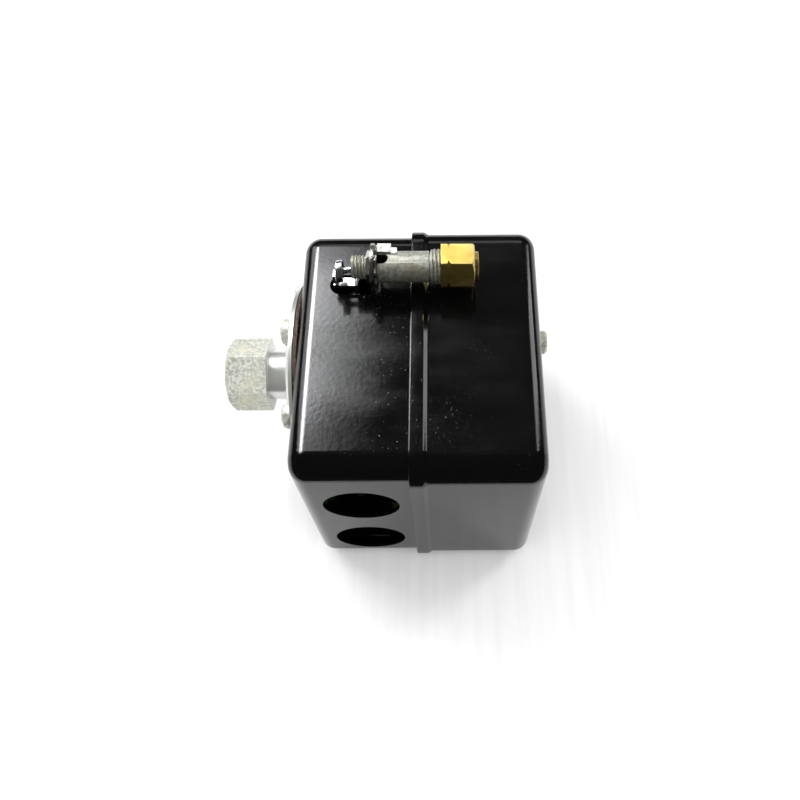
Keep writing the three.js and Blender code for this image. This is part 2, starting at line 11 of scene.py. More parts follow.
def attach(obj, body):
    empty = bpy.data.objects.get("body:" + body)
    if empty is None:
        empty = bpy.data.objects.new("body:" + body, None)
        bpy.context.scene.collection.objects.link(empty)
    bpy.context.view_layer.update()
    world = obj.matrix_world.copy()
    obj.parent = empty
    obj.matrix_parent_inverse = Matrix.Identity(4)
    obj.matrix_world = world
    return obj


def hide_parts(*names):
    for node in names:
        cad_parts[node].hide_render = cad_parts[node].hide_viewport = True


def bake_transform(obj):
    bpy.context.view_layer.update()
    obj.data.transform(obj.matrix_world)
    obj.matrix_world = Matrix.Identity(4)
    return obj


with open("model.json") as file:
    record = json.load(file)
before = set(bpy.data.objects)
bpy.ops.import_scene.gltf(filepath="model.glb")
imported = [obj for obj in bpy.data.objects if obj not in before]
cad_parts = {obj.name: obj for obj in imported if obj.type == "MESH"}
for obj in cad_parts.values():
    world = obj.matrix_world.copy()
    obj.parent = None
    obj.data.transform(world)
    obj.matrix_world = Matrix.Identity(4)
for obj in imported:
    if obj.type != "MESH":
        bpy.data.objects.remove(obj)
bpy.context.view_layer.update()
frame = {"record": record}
RECORD = frame["record"]
BODY_OF = {n: b for b, nodes in RECORD["behaviour"]["bodies"].items() for n in nodes}

# ---------------------------------------------------------------- driving dimensions (millimetres)
# x from the outer face of the base's end wall, y and z from the centre of the casing.
ORIGIN_X, FLOOR_Z = 25.0, 39.4
BASE_Y, BASE_Z, BASE_CORNER, BASE_EDGE, BASE_RIM, SHEET = 39.9, 38.0, 6.7, 5.0, 35.8, 1.2
COVER_Y, COVER_Z, COVER_CORNER, COVER_START, COVER_END = 40.95, 38.6, 7.3, 32.7, 70.3
LIP_GROW, LIP_FLAT_END, LIP_SLOPE_END = 0.8, 36.2, 38.2
CONDUIT_X, CONDUIT_Z, CONDUIT_R = 18.05, (12.2, -19.3), 11.1
PORT_Y, PORT_Z, BOLT_CIRCLE, BOLT_START = 7.0, 6.0, 24.5, 28.0
HEX_FLATS, HEX_X0, HEX_X1, NECK_R = 20.3, -26.0, -13.1, 8.1
PIVOT_X, PIVOT_Y = 9.0, -3.0
PLATE_Z0, PLATE_Z1 = -4.5, 16.5
STUD_Y, STUD_Z = 18.3, 6.0
DIFF_Y, DIFF_Z = 30.6, 6.0
VALVE_Y, VALVE_Z = 19.2, 47.0
# The second number is the radius of the painted shade inside the valve's vent slot.
VENT_START_X, VENT_SHADE_R = 22.9, 3.8
TERMINAL_ZS, TERMINAL_Y = (-21.0, -7.0, 7.0, 21.0), -22.4
CONTACT_Y, POST_ZS = -21.0, (-14.0, 14.0)
RIVET_YS, RIVET_X = (23.0, 29.0), 27.0
BOLT_SPOTS = [
    (
        PORT_Y + BOLT_CIRCLE * math.cos(math.radians(BOLT_START + 60 * i)),
        PORT_Z + BOLT_CIRCLE * math.sin(math.radians(BOLT_START + 60 * i)),
    )
    for i in range(6)
]
BLOCK_SCREWS = ((-9.0, 26.0), (-9.0, -26.0))
GROUND_Y, GROUND_Z = -26.5, -10.0


def at(x, y, z):
    """A point of the casing's own millimetres in the row frame."""
    return Vector(((x - ORIGIN_X) / 1000, y / 1000, (z + FLOOR_Z) / 1000))


# ---------------------------------------------------------------- mesh building
def fillet(profile, steps=5):
    """Rounds the corners of a 2-D profile; a point's third number is its corner radius."""
    out = []
    for i, p in enumerate(profile):
        r = p[2] if len(p) > 2 else 0
        if not r or i in (0, len(profile) - 1):
            out.append((p[0], p[1]))
            continue
        here, before, after = (Vector(q[:2]) for q in (p, profile[i - 1], profile[i + 1]))
        a, b = (before - here).normalized(), (after - here).normalized()
        half = a.angle(b) / 2
        reach = min(r / math.tan(half), (before - here).length * 0.49, (after - here).length * 0.49)
        radius = reach * math.tan(half)
        middle = here + (a + b).normalized() * (radius / math.sin(half))
        start, end = here + a * reach - middle, here + b * reach - middle
        turn = math.atan2(start.x * end.y - start.y * end.x, start.dot(end))
        for k in range(steps + 1):
            c, s = math.cos(turn * k / steps), math.sin(turn * k / steps)
            q = Vector((start.x * c - start.y * s, start.x * s + start.y * c)) + middle
            out.append((q.x, q.y))
    return out


def new_object(name, bm):
    bmesh.ops.remove_doubles(bm, verts=bm.verts, dist=1e-4)
    bmesh.ops.recalc_face_normals(bm, faces=bm.faces)
    mesh = bpy.data.meshes.new(name)
    bm.to_mesh(mesh)
    bm.free()
    obj = bpy.data.objects.new(name, mesh)
    bpy.context.scene.collection.objects.link(obj)
    return obj


def turned(profile, y, z, segments=72, steps=5):
    """A solid turned about an axis parallel to X. Profile points are (x, radius[, fillet]).

    A profile that comes back to its first point is a closed ring.
    """
    closed = profile[0][:2] == profile[-1][:2]
    points = fillet(profile, steps)
    points = points[:-1] if closed else points
    bm = bmesh.new()
    rings = []
    for x, r in points:
        if r < 1e-6:
            rings.append([bm.verts.new((x, y, z))])
            continue
        angles = [2 * math.pi * (k + 0.5) / segments for k in range(segments)]
        rings.append(
            [bm.verts.new((x, y + r * math.cos(a), z + r * math.sin(a))) for a in angles]
        )
    if closed:
        rings.append(rings[0])
    for one, two in zip(rings, rings[1:]):
        for k in range(segments):
            corners = [one[k % len(one)], one[(k + 1) % len(one)]]
            corners += [two[(k + 1) % len(two)], two[k % len(two)]]
            face = list(dict.fromkeys(corners))
            if len(face) > 2:
                bm.faces.new(face)
    return new_object("turned", bm)


def rod(radius, x0, x1, y, z, segments=72):
    return turned([(x0, 0), (x0, radius), (x1, radius), (x1, 0)], y, z, segments)


def along_z(obj, x, y):
    """Turns an X-wise solid, made about y = 0 and z = 0, to stand along Z at x, y."""
    obj.data.transform(Matrix(((0, 0, 1, x), (0, 1, 0, y), (-1, 0, 0, 0), (0, 0, 0, 1))))
    return obj


def along_y(obj, x, z):
    """Turns an X-wise solid, made about y = 0 and z = 0, to lie along Y at x, z."""
    obj.data.transform(Matrix(((0, 1, 0, x), (1, 0, 0, 0), (0, 0, -1, z), (0, 0, 0, 1))))
    return obj


def prism(points, axis, low, high):
    """A straight solid of a 2-D outline: drawn in the other two axes, in X, Y, Z order."""
    bm = bmesh.new()

    def place(p, w):
        q = list(p[:2])
        q.insert(axis, w)
        return bm.verts.new(q)

    ends = [[place(p, w) for p in points] for w in (low, high)]
    bm.faces.new(ends[0])
    bm.faces.new(list(reversed(ends[1])))
    for k in range(len(points)):
        j = (k + 1) % len(points)
        bm.faces.new((ends[0][k], ends[0][j], ends[1][j], ends[1][k]))
    return new_object("prism", bm)


def box(x0, x1, y0, y1, z0, z1):
    return prism([(x0, y0), (x1, y0), (x1, y1), (x0, y1)], 2, z0, z1)


def hexagon(flats, x0, x1, y, z, spin=0.0, chamfer=0.9, edge=0.0):
    """A hexagonal prism along X: ends turned to a 30-degree chamfer, long edges rounded by edge."""
    corner = flats / math.sqrt(3)
    angles = [spin + k * math.pi / 3 for k in range(6)]
    points = [(y + corner * math.sin(a), z + corner * math.cos(a), edge) for a in angles]
    if edge:
        start = ((points[0][0] + points[5][0]) / 2, (points[0][1] + points[5][1]) / 2)
        points = fillet([start, *points, start], 5)[:-1]
    else:
        points = [point[:2] for point in points]
    obj = prism(points, 0, x0, x1)
    inner, outer = flats / 2 - 0.15, corner + 0.3
    cone = turned(
        [(x0, 0), (x0, inner), (x0 + chamfer, outer), (x1 - chamfer, outer), (x1, inner), (x1, 0)],
        y, z, 96,
    )
    return boolean(obj, [cone], "INTERSECT")


def boolean(obj, tools, operation="DIFFERENCE"):
    """Cuts, joins or intersects with closed tools, which are used up."""
    for tool in tools:
        modifier = obj.modifiers.new("cut", "BOOLEAN")
        modifier.operation, modifier.solver, modifier.object = operation, "EXACT", tool
    bpy.context.view_layer.update()
    evaluated = obj.evaluated_get(bpy.context.evaluated_depsgraph_get())
    mesh = bpy.data.meshes.new_from_object(evaluated)
    obj.modifiers.clear()
    old, obj.data = obj.data, mesh
    bpy.data.meshes.remove(old)
    for tool in tools:
        data = tool.data
        bpy.data.objects.remove(tool)
        bpy.data.meshes.remove(data)
    return obj


def together(first, *others):
    """Puts several meshes in one object."""
    bm = bmesh.new()
    bm.from_mesh(first.data)
    for other in others:
        bm.from_mesh(other.data)
        data = other.data
        bpy.data.objects.remove(other)
        bpy.data.meshes.remove(data)
    bm.to_mesh(first.data)
    bm.free()
    return first


def thread(x0, x1, radius, depth, pitch, y, z, segments=64, inner=0.0, rows=10):
    """A closed rod or sleeve with a helical thread that fades out at both ends."""
    count = max(2, round((x1 - x0) / pitch * rows))
    bm = bmesh.new()
    grid = []
    for i in range(count + 1):
        x = x0 + (x1 - x0) * i / count
        fade = min(1.0, (x - x0) / (0.7 * pitch), (x1 - x) / (0.7 * pitch))
        row = []
        for k in range(segments):
            angle = 2 * math.pi * k / segments
            phase = (x / pitch - k / segments) % 1.0
            groove = 0.5 + 0.5 * math.cos(2 * math.pi * phase)
            r = radius - depth * (groove**1.4 * fade + 0.55 * (1 - fade))
            row.append(bm.verts.new((x, y + r * math.cos(angle), z + r * math.sin(angle))))
        grid.append(row)
    for one, two in zip(grid, grid[1:]):
        for k in range(segments):
            j = (k + 1) % segments
            bm.faces.new((one[k], one[j], two[j], two[k]))
    if inner:
        holes = [
            [
                bm.verts.new((x, y + inner * math.cos(a), z + inner * math.sin(a)))
                for a in (2 * math.pi * k / segments for k in range(segments))
            ]
            for x in (x0, x1)
        ]
        for k in range(segments):
            j = (k + 1) % segments
            bm.faces.new((grid[0][j], grid[0][k], holes[0][k], holes[0][j]))
            bm.faces.new((grid[-1][k], grid[-1][j], holes[1][j], holes[1][k]))
            bm.faces.new((holes[0][j], holes[0][k], holes[1][k], holes[1][j]))
    else:
        bm.faces.new(grid[0])
        bm.faces.new(grid[-1])
    return new_object("thread", bm)


def spring(coil, wire, x0, x1, turns, y, z, sides=14, per_turn=40, part=(0, 1)):
    """A compression spring along X with closed end coils; part picks a share of its turns."""
    closed = 0.9
    free = turns - 2 * closed
    length = x1 - x0 - 2 * wire
    end_rise = 2.1 * wire * closed
    count = int(turns * per_turn)
    bm = bmesh.new()
    rings = []
    for i in range(round(count * part[0]), round(count * part[1]) + 1):
        t = turns * i / count
        if t < closed:
            x = end_rise * t / closed
        elif t > turns - closed:
            x = length - end_rise * (turns - t) / closed
        else:
            x = end_rise + (length - 2 * end_rise) * (t - closed) / free
        a = 2 * math.pi * t
        radial = Vector((0, math.cos(a), math.sin(a)))
        centre = Vector((x0 + wire + x, y, z)) + radial * coil
        axial = Vector((1, 0, 0))
        ring = []
        for k in range(sides):
            b = 2 * math.pi * k / sides
            ring.append(bm.verts.new(centre + (radial * math.cos(b) + axial * math.sin(b)) * wire))
        rings.append(ring)
    for one, two in zip(rings, rings[1:]):
        for k in range(sides):
            j = (k + 1) % sides
            bm.faces.new((one[k], one[j], two[j], two[k]))
    bm.faces.new(rings[0])
    bm.faces.new(list(reversed(rings[-1])))
    return new_object("spring", bm)


def rounded_ring(bm, x, half_y, half_z, corner, corner_steps=12, side_steps=6):
    """One closed loop of vertices round a rounded rectangle at x."""
    corner = max(corner, 0.05)
    loop = []
    centres = ((1, 1, 0), (-1, 1, 90), (-1, -1, 180), (1, -1, 270))
    for index, (sy, sz, start) in enumerate(centres):
        cy, cz = sy * (half_y - corner), sz * (half_z - corner)
        for k in range(corner_steps + 1):
            a = math.radians(start + 90 * k / corner_steps)
            loop.append(Vector((x, cy + corner * math.cos(a), cz + corner * math.sin(a))))
        ny, nz, nstart = centres[(index + 1) % 4]
        a = math.radians(nstart)
        ahead_y = ny * (half_y - corner) + corner * math.cos(a)
        ahead_z = nz * (half_z - corner) + corner * math.sin(a)
        ahead = Vector((x, ahead_y, ahead_z))
        last = loop[-1]
        loop += [last.lerp(ahead, k / side_steps) for k in range(1, side_steps)]
    return [bm.verts.new(v) for v in loop]


def shell(sections, inner_sections):
    """A drawn cup: outer loops from rim to end, then inner loops from end to rim."""
    bm = bmesh.new()
    outer = [rounded_ring(bm, *s) for s in sections]
    inner = [rounded_ring(bm, *s) for s in inner_sections]
    loops = outer + [None] + inner
    for one, two in zip(loops, loops[1:]):
        if one is None or two is None:
            continue
        for k in range(len(one)):
            j = (k + 1) % len(one)
            bm.faces.new((one[k], one[j], two[j], two[k]))
    rim, last = outer[0], inner[-1]
    for k in range(len(rim)):
        j = (k + 1) % len(rim)
        bm.faces.new((last[k], last[j], rim[j], rim[k]))
    bm.faces.new(outer[-1])
    bm.faces.new(inner[0])
    return new_object("shell", bm)


def end_round(x_flat, direction, half_y, half_z, corner, edge, steps=10):
    """Sections that round a drawn cup's end: x_flat is where the straight wall stops."""
    out = []
    for k in range(steps + 1):
        a = math.pi / 2 * k / steps
        inset = edge * (1 - math.cos(a))
        x = x_flat + direction * edge * math.sin(a)
        out.append((x, half_y - inset, half_z - inset, corner - inset))
    return out


def show(
    obj, node, material, bevel=0.0, angle=35.0, segments=2, weighted=True, between=None, suffix="_detail"
):
    """Finishes a new piece: real place, rounded edges, shading, finish, and the node it stands for.

    between holds two bodies and two points, which are not used; a piece given it is left in place, attached
    to no body."""
    obj.name = node + suffix
    obj.data.name = obj.name
    obj.data.transform(Matrix.Scale(0.001, 4))
    obj.data.transform(Matrix.Translation((-ORIGIN_X / 1000, 0, FLOOR_Z / 1000)))
    for polygon in obj.data.polygons:
        polygon.use_smooth = True
    if bevel:
        modifier = obj.modifiers.new("edges", "BEVEL")
        modifier.width, modifier.segments = bevel / 1000, segments
        modifier.limit_method, modifier.angle_limit = "ANGLE", math.radians(angle)
        modifier.use_clamp_overlap = True
        modifier.harden_normals = False
    else:
        obj.data.set_sharp_from_angle(angle=math.radians(angle))
    if weighted:
        modifier = obj.modifiers.new("shading", "WEIGHTED_NORMAL")
        modifier.keep_sharp, modifier.weight = True, 80
    obj.data.materials.clear()
    obj.data.materials.append(material)
    if between:
        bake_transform(obj)
    else:
        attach(obj, BODY_OF[node])
    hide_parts(node)
    return obj


# ---------------------------------------------------------------- finishes
class Finish:
    """A node material: a principled shader with textures in the object's own coordinates."""

    def __init__(self, name, color, roughness, metallic=0.0, **sockets):
        self.material = bpy.data.materials.new(name)
        self.material.use_nodes = True
        self.tree = self.material.node_tree
        self.shader = self.tree.nodes["Principled BSDF"]
        self.shader.inputs["Base Color"].default_value = (*color, 1)
        self.shader.inputs["Roughness"].default_value = roughness
        self.shader.inputs["Metallic"].default_value = metallic
        for key, value in sockets.items():
            self.shader.inputs[key.replace("_", " ")].default_value = value
        self.place = self.tree.nodes.new("ShaderNodeTexCoord").outputs["Object"]
        self.height = None

    def link(self, a, b):
        self.tree.links.new(a, b)

    def axes(self):
        """The object's own X, Y and Z."""
        node = self.tree.nodes.new("ShaderNodeSeparateXYZ")
        self.link(self.place, node.inputs["Vector"])
        return node.outputs

    def stretched(self, scale):
        mapping = self.tree.nodes.new("ShaderNodeMapping")
        mapping.inputs["Scale"].default_value = scale
        self.link(self.place, mapping.inputs["Vector"])
        return mapping.outputs["Vector"]

    def noise(self, scale, detail=4.0, rough=0.55, stretch=None):
        node = self.tree.nodes.new("ShaderNodeTexNoise")
        node.inputs["Scale"].default_value = scale
        node.inputs["Detail"].default_value = detail
        node.inputs["Roughness"].default_value = rough
        self.link(self.stretched(stretch) if stretch else self.place, node.inputs["Vector"])
        return node.outputs["Fac"]

    def cells(self, scale, feature="F1"):
        node = self.tree.nodes.new("ShaderNodeTexVoronoi")
        node.feature = feature
        node.inputs["Scale"].default_value = scale
        self.link(self.place, node.inputs["Vector"])
        return node.outputs["Distance"]

    def ramp(self, value, low, high, start=(0, 0, 0), end=(1, 1, 1)):
        node = self.tree.nodes.new("ShaderNodeValToRGB")
        node.color_ramp.elements[0].position, node.color_ramp.elements[0].color = low, (*start, 1)
        node.color_ramp.elements[1].position, node.color_ramp.elements[1].color = high, (*end, 1)
        self.link(value, node.inputs["Fac"])
        return node.outputs["Color"]

    def worn(self, low=0.53, high=0.62):
        """High on outer edges, from the surface's own curvature."""
        geometry = self.tree.nodes.new("ShaderNodeNewGeometry")
        return self.ramp(geometry.outputs["Pointiness"], low, high)

    def mix(self, factor, a, b, blend="MIX"):
        node = self.tree.nodes.new("ShaderNodeMix")
        node.data_type, node.blend_type = "RGBA", blend
        if isinstance(factor, float):
            node.inputs[0].default_value = factor
        else:
            self.link(factor, node.inputs[0])
        for value, socket in ((a, node.inputs[6]), (b, node.inputs[7])):
            if isinstance(value, tuple):
                socket.default_value = (*value, 1)
            else:
                self.link(value, socket)
        return node.outputs[2]

    def math(self, operation, a, b):
        node = self.tree.nodes.new("ShaderNodeMath")
        node.operation = operation
        for value, socket in ((a, node.inputs[0]), (b, node.inputs[1])):
            if isinstance(value, (int, float)):
                socket.default_value = value
            else:
                self.link(value, socket)
        return node.outputs[0]

    def spread(self, value, low, high):
        """A 0 to 1 value spread between two numbers."""
        return self.math("ADD", self.math("MULTIPLY", value, high - low), low)

    def color(self, output):
        self.link(output, self.shader.inputs["Base Color"])
        return self

    def rough(self, output):
        self.link(output, self.shader.inputs["Roughness"])
        return self

    def bump(self, output, depth, strength=1.0):
        """Depth in millimetres; calls add up."""
        node = self.tree.nodes.new("ShaderNodeBump")
        node.inputs["Strength"].default_value = strength
        node.inputs["Distance"].default_value = depth / 1000
        self.link(output, node.inputs["Height"])
        if self.height:
            self.link(self.height, node.inputs["Normal"])
        self.height = node.outputs["Normal"]
        self.link(self.height, self.shader.inputs["Normal"])
        return self


def black_paint():
    black = (0.002, 0.002, 0.002)
    f = Finish("gloss_black_paint", black, 0.1, Specular_IOR_Level=0.27, Coat_Weight=0.03)
    dust = f.ramp(f.cells(700), 0.03, 0.1, (1, 1, 1), (0, 0, 0))
    patches = f.ramp(f.noise(45, 3), 0.5, 0.6)
    specks = f.math("MULTIPLY", dust, patches)
    fine = f.ramp(f.cells(1900), 0.05, 0.14, (1, 1, 1), (0, 0, 0))
    fine = f.math("MULTIPLY", fine, f.ramp(f.noise(21, 3), 0.44, 0.6))
    grime = f.math("MAXIMUM", specks, f.math("MULTIPLY", fine, 0.7))
    f.color(f.mix(f.math("MULTIPLY", grime, 0.3), black, (0.42, 0.4, 0.37)))
    smears = f.ramp(f.noise(30, 5, 0.62, (1, 2.6, 1)), 0.36, 0.66)
    f.rough(f.math("ADD", f.spread(smears, 0.07, 0.21), f.math("MULTIPLY", grime, 0.35)))
    f.bump(f.noise(760, 2, 0.45), 0.018)
    f.bump(f.noise(60, 2, 0.4), 0.03)
    f.bump(grime, 0.03)
    return f.material


def zinc_cast(smooth_from=None):
    """Mottled casting; past smooth_from along X it is turned smooth."""
    f = Finish("zinc_casting", (0.62, 0.63, 0.61), 0.34, 0.4)
    grain = f.ramp(f.noise(1050, 5, 0.7), 0.4, 0.6)
    tone = f.mix(grain, (0.3, 0.31, 0.24), (0.66, 0.67, 0.62))
    tone = f.mix(f.ramp(f.noise(150, 5), 0.5, 0.72), tone, (0.62, 0.59, 0.43))
    tone = f.mix(f.math("MULTIPLY", f.worn(), 0.4), tone, (0.9, 0.9, 0.88))
    rough = f.spread(f.noise(330, 5, 0.6), 0.3, 0.52)
    f.bump(f.noise(900, 4, 0.6), 0.05)
    f.bump(f.noise(180, 3), 0.06)
    if smooth_from is None:
        f.color(tone)
        f.rough(rough)
        return f.material
    side = f.math("GREATER_THAN", f.axes()["X"], smooth_from)
    f.color(f.mix(side, tone, (0.7, 0.71, 0.68)))
    f.link(f.spread(side, 0.35, 0.66), f.shader.inputs["Metallic"])
    turned_marks = f.spread(f.noise(900, 3, 0.5, (1, 0.05, 0.05)), 0.14, 0.26)
    cast_side = f.math("SUBTRACT", 1.0, side)
    smooth, cast = f.math("MULTIPLY", side, turned_marks), f.math("MULTIPLY", cast_side, rough)
    f.rough(f.math("ADD", smooth, cast))
    return f.material


def grey_casting():
    """Grey casting, with painted shade inside the valve's vent slot."""
    f = Finish("valve_casting", (0.5, 0.5, 0.47), 0.55, 0.62)
    grain = f.ramp(f.noise(950, 5, 0.7), 0.36, 0.64)
    tone = f.mix(grain, (0.1, 0.1, 0.08), (0.31, 0.31, 0.275))
    tone = f.mix(f.ramp(f.noise(210, 4), 0.5, 0.72), tone, (0.19, 0.17, 0.12))
    tone = f.mix(f.math("MULTIPLY", f.worn(), 0.5), tone, (0.5, 0.5, 0.47))
    # Painted shade: near-black colour within that radius of the valve's axis, past the vent's start along X.
    here = f.axes()
    axis = at(VENT_START_X, VALVE_Y, VALVE_Z)
    across = f.math("SUBTRACT", here["Y"], axis.y)
    up = f.math("SUBTRACT", here["Z"], axis.z)
    reach = f.math("ADD", f.math("MULTIPLY", across, across), f.math("MULTIPLY", up, up))
    inside = f.math("LESS_THAN", reach, (VENT_SHADE_R / 1000) ** 2)
    inside = f.math("MULTIPLY", inside, f.math("GREATER_THAN", here["X"], axis.x))
    f.color(f.mix(inside, tone, (0.02, 0.008, 0.005)))
    f.rough(f.spread(f.noise(420, 5, 0.6), 0.46, 0.68))
    f.bump(f.noise(1300, 4, 0.65), 0.05)
    f.bump(f.noise(260, 3), 0.05)
    return f.material


def bright_metal(name, base, second, roughness, grain=(1, 1, 1)):
    f = Finish(name, base, roughness, 1.0)
    tone = f.mix(f.ramp(f.noise(140, 5), 0.4, 0.7), base, second)
    f.color(f.mix(f.math("MULTIPLY", f.worn(), 0.4), tone, tuple(min(1.0, c * 1.25) for c in base)))
    f.rough(f.spread(f.noise(600, 4, 0.6, grain), roughness * 0.6, roughness * 1.5))
    f.bump(f.noise(1500, 3, 0.6, grain), 0.012)
    return f.material


def brass():
    f = Finish("turned_brass", (0.85, 0.6, 0.18), 0.3, 1.0)
    tone = f.mix(f.ramp(f.noise(120, 5), 0.4, 0.68), (0.54, 0.4, 0.1), (0.34, 0.23, 0.045))
    f.color(f.mix(f.math("MULTIPLY", f.worn(), 0.7), tone, (0.85, 0.72, 0.38)))
    f.rough(f.spread(f.noise(500, 4, 0.6, (0.15, 1, 1)), 0.26, 0.44))
    f.bump(f.noise(2600, 2, 0.5, (1, 0.06, 0.06)), 0.008)
    f.bump(f.noise(200, 3), 0.02)
    return f.material


def rubber():
    f = Finish("rubberised_fabric", (0.05, 0.032, 0.022), 0.8)
    weave = f.noise(1500, 3, 0.5, (1, 1, 0.3))
    f.color(f.mix(f.ramp(weave, 0.44, 0.68), (0.016, 0.01, 0.007), (0.09, 0.052, 0.03)))
    f.rough(f.spread(f.noise(700), 0.65, 0.95))
    f.bump(weave, 0.08)
    return f.material


def moulded(name, dark, light):
    f = Finish(name, dark, 0.42)
    f.color(f.mix(f.ramp(f.noise(900, 6, 0.7), 0.5, 0.72), dark, light))
    f.rough(f.spread(f.noise(240, 5), 0.3, 0.58))
    f.bump(f.noise(1100, 3, 0.5), 0.015)
    return f.material


def green_plate():
    f = Finish("green_plated_steel", (0.02, 0.18, 0.06), 0.3, 0.75)
    f.color(f.mix(f.ramp(f.noise(240, 5), 0.4, 0.7), (0.02, 0.2, 0.07), (0.01, 0.1, 0.035)))
    f.rough(f.spread(f.noise(500), 0.22, 0.42))
    f.bump(f.noise(1200), 0.01)
    return f.material


BLACK = black_paint()
ZINC = zinc_cast()
PORT = zinc_cast(at(-13.2, 0, 0).x)
CASTING = grey_casting()
PLATED = bright_metal("bright_zinc_plate", (0.72, 0.73, 0.74), (0.66, 0.62, 0.5), 0.22)
STEEL = bright_metal("bright_steel", (0.63, 0.64, 0.66), (0.5, 0.5, 0.52), 0.2, (1, 0.1, 0.1))
DARK = bright_metal("black_oxide_steel", (0.07, 0.068, 0.066), (0.03, 0.028, 0.028), 0.36)
BRACKET = bright_metal("bracket_steel", (0.3, 0.3, 0.28), (0.17, 0.165, 0.15), 0.26)
# Brass darkened as painted shade, for the terminals and contact bridges inside the casing.
SHADED_BRASS = bright_metal("brass_darkened_as_shade", (0.12, 0.08, 0.03), (0.06, 0.04, 0.02), 0.42)
BRASS = brass()
RUBBER = rubber()
PHENOLIC = moulded("black_phenolic", (0.012, 0.01, 0.009), (0.03, 0.024, 0.02))
BROWN = moulded("brown_phenolic", (0.026, 0.012, 0.008), (0.06, 0.028, 0.017))
GREEN = green_plate()

# ---------------------------------------------------------------- casing
base_outer = [
    (BASE_RIM, BASE_Y - 0.25, BASE_Z - 0.25, BASE_CORNER - 0.25),
    (BASE_RIM - 0.25, BASE_Y, BASE_Z, BASE_CORNER),
    (22.0, BASE_Y, BASE_Z, BASE_CORNER),
] + end_round(BASE_EDGE, -1, BASE_Y, BASE_Z, BASE_CORNER, BASE_EDGE)
inner_edge = BASE_EDGE - SHEET
base_inner = list(
    reversed(end_round(BASE_EDGE, -1, BASE_Y - SHEET, BASE_Z - SHEET, BASE_CORNER - SHEET, inner_edge))
) + [
    (22.0, BASE_Y - SHEET, BASE_Z - SHEET, BASE_CORNER - SHEET),
    (BASE_RIM, BASE_Y - SHEET, BASE_Z - SHEET, BASE_CORNER - SHEET),
]


def lever_slot():
    points = [(23.2, 16.0), (23.8, 16.6), (23.8, 22.4), (23.2, 23.0)]
    for k in range(25):
        a = math.radians(90 + 180 * k / 24)
        points.append((12.4 + 3.5 * math.cos(a), 19.5 + 3.5 * math.sin(a)))
    return prism(points, 2, 30, 45)


housing = boolean(
    shell(base_outer, base_inner),
    [lever_slot(), rod(16.55, -2, 3, PORT_Y, PORT_Z)]
    + [along_y(rod(CONDUIT_R, -45, -35, 0, 0, 96), CONDUIT_X, z) for z in CONDUIT_Z]
    + [rod(2.2, -2, 3, y, z, 24) for y, z in BOLT_SPOTS]
    + [along_z(rod(1.58, -45, -30, 0, 0, 24), RIVET_X, y) for y in RIVET_YS],
)
show(housing, "housing", BLACK, bevel=0.16, angle=50)

lip_y, lip_z, lip_c = COVER_Y + LIP_GROW, COVER_Z + LIP_GROW, COVER_CORNER + LIP_GROW
lip_outer = [
    (COVER_START, lip_y - 0.3, lip_z - 0.3, lip_c - 0.3),
    (COVER_START + 0.1, lip_y - 0.1, lip_z - 0.1, lip_c - 0.1),
    (COVER_START + 0.3, lip_y, lip_z, lip_c),
]
for step in range(9):
    share = step / 8
    drop = LIP_GROW * (0.5 - 0.5 * math.cos(math.pi * share))
    x = LIP_FLAT_END + (LIP_SLOPE_END - LIP_FLAT_END) * share - 0.1
    lip_outer.append((x, lip_y - drop, lip_z - drop, lip_c - drop))
cover_outer = lip_outer + end_round(COVER_END - 5, 1, COVER_Y, COVER_Z, COVER_CORNER, 5.0)
cover_inner = list(
    reversed(end_round(COVER_END - 5, 1, COVER_Y - 1.2, COVER_Z - 1.2, COVER_CORNER - 1.2, 3.8))
) + [
    (38.0, COVER_Y - 1.2, COVER_Z - 1.2, COVER_CORNER - 1.2),
    (36.1, lip_y - 1.1, lip_z - 1.1, lip_c - 1.1),
    (COVER_START, lip_y - 1.1, lip_z - 1.1, lip_c - 1.1),
]
cover = boolean(shell(cover_outer, cover_inner), [rod(2.95, 60, 80, STUD_Y, STUD_Z, 48)])
show(cover, "cover", BLACK, bevel=0.1, angle=55)

# ---------------------------------------------------------------- port, diaphragm and screws
flange = turned(
    [
        (-1.5, 0), (-1.5, 28.8, 0.15), (-2.6, 28.8, 0.3), (-2.9, 28.4, 0.2), (-2.9, 20.2, 1.0),
        (-5.6, 17.6, 1.2), (-6.0, 15.8, 0.8), (-6.6, 10.4, 1.0), (-7.4, NECK_R, 0.7), (-14, NECK_R), (-14, 0),
    ],
    PORT_Y, PORT_Z, 128,
)
port_hex = boolean(
    hexagon(HEX_FLATS, HEX_X0, HEX_X1 + 2, PORT_Y, PORT_Z, 0, 1.4),
    [box(HEX_X1, HEX_X1 + 3, PORT_Y - 15, PORT_Y + 15, PORT_Z - 15, PORT_Z + 15)],
)
flange = boolean(flange, [port_hex], "UNION")
flange = boolean(
    flange,
    [
        turned([(-27, 0), (-27, 6.7), (-26, 6.6), (-25.2, 5.75), (-12.5, 5.75), (-12.5, 0)], PORT_Y, PORT_Z),
        rod(2.7, -13, -2, PORT_Y, PORT_Z, 32),
        turned([(-4.4, 0), (-4.4, 10), (-3.2, 15.2), (-1, 15.2), (-1, 0)], PORT_Y, PORT_Z),
    ]
    + [rod(2.25, -4, -1, y, z, 32) for y, z in BOLT_SPOTS],
)
pipe_thread = thread(-25.2, -13.2, 5.95, 0.55, 1.41, PORT_Y, PORT_Z, 72, 0.0)
bore_core = turned([(-25.4, 0), (-25.4, 6.3), (-13.0, 6.3), (-13.0, 0)], PORT_Y, PORT_Z)
bore_thread = boolean(bore_core, [pipe_thread])
show(together(flange, bore_thread), "port_flange", PORT, bevel=0.18, angle=32)

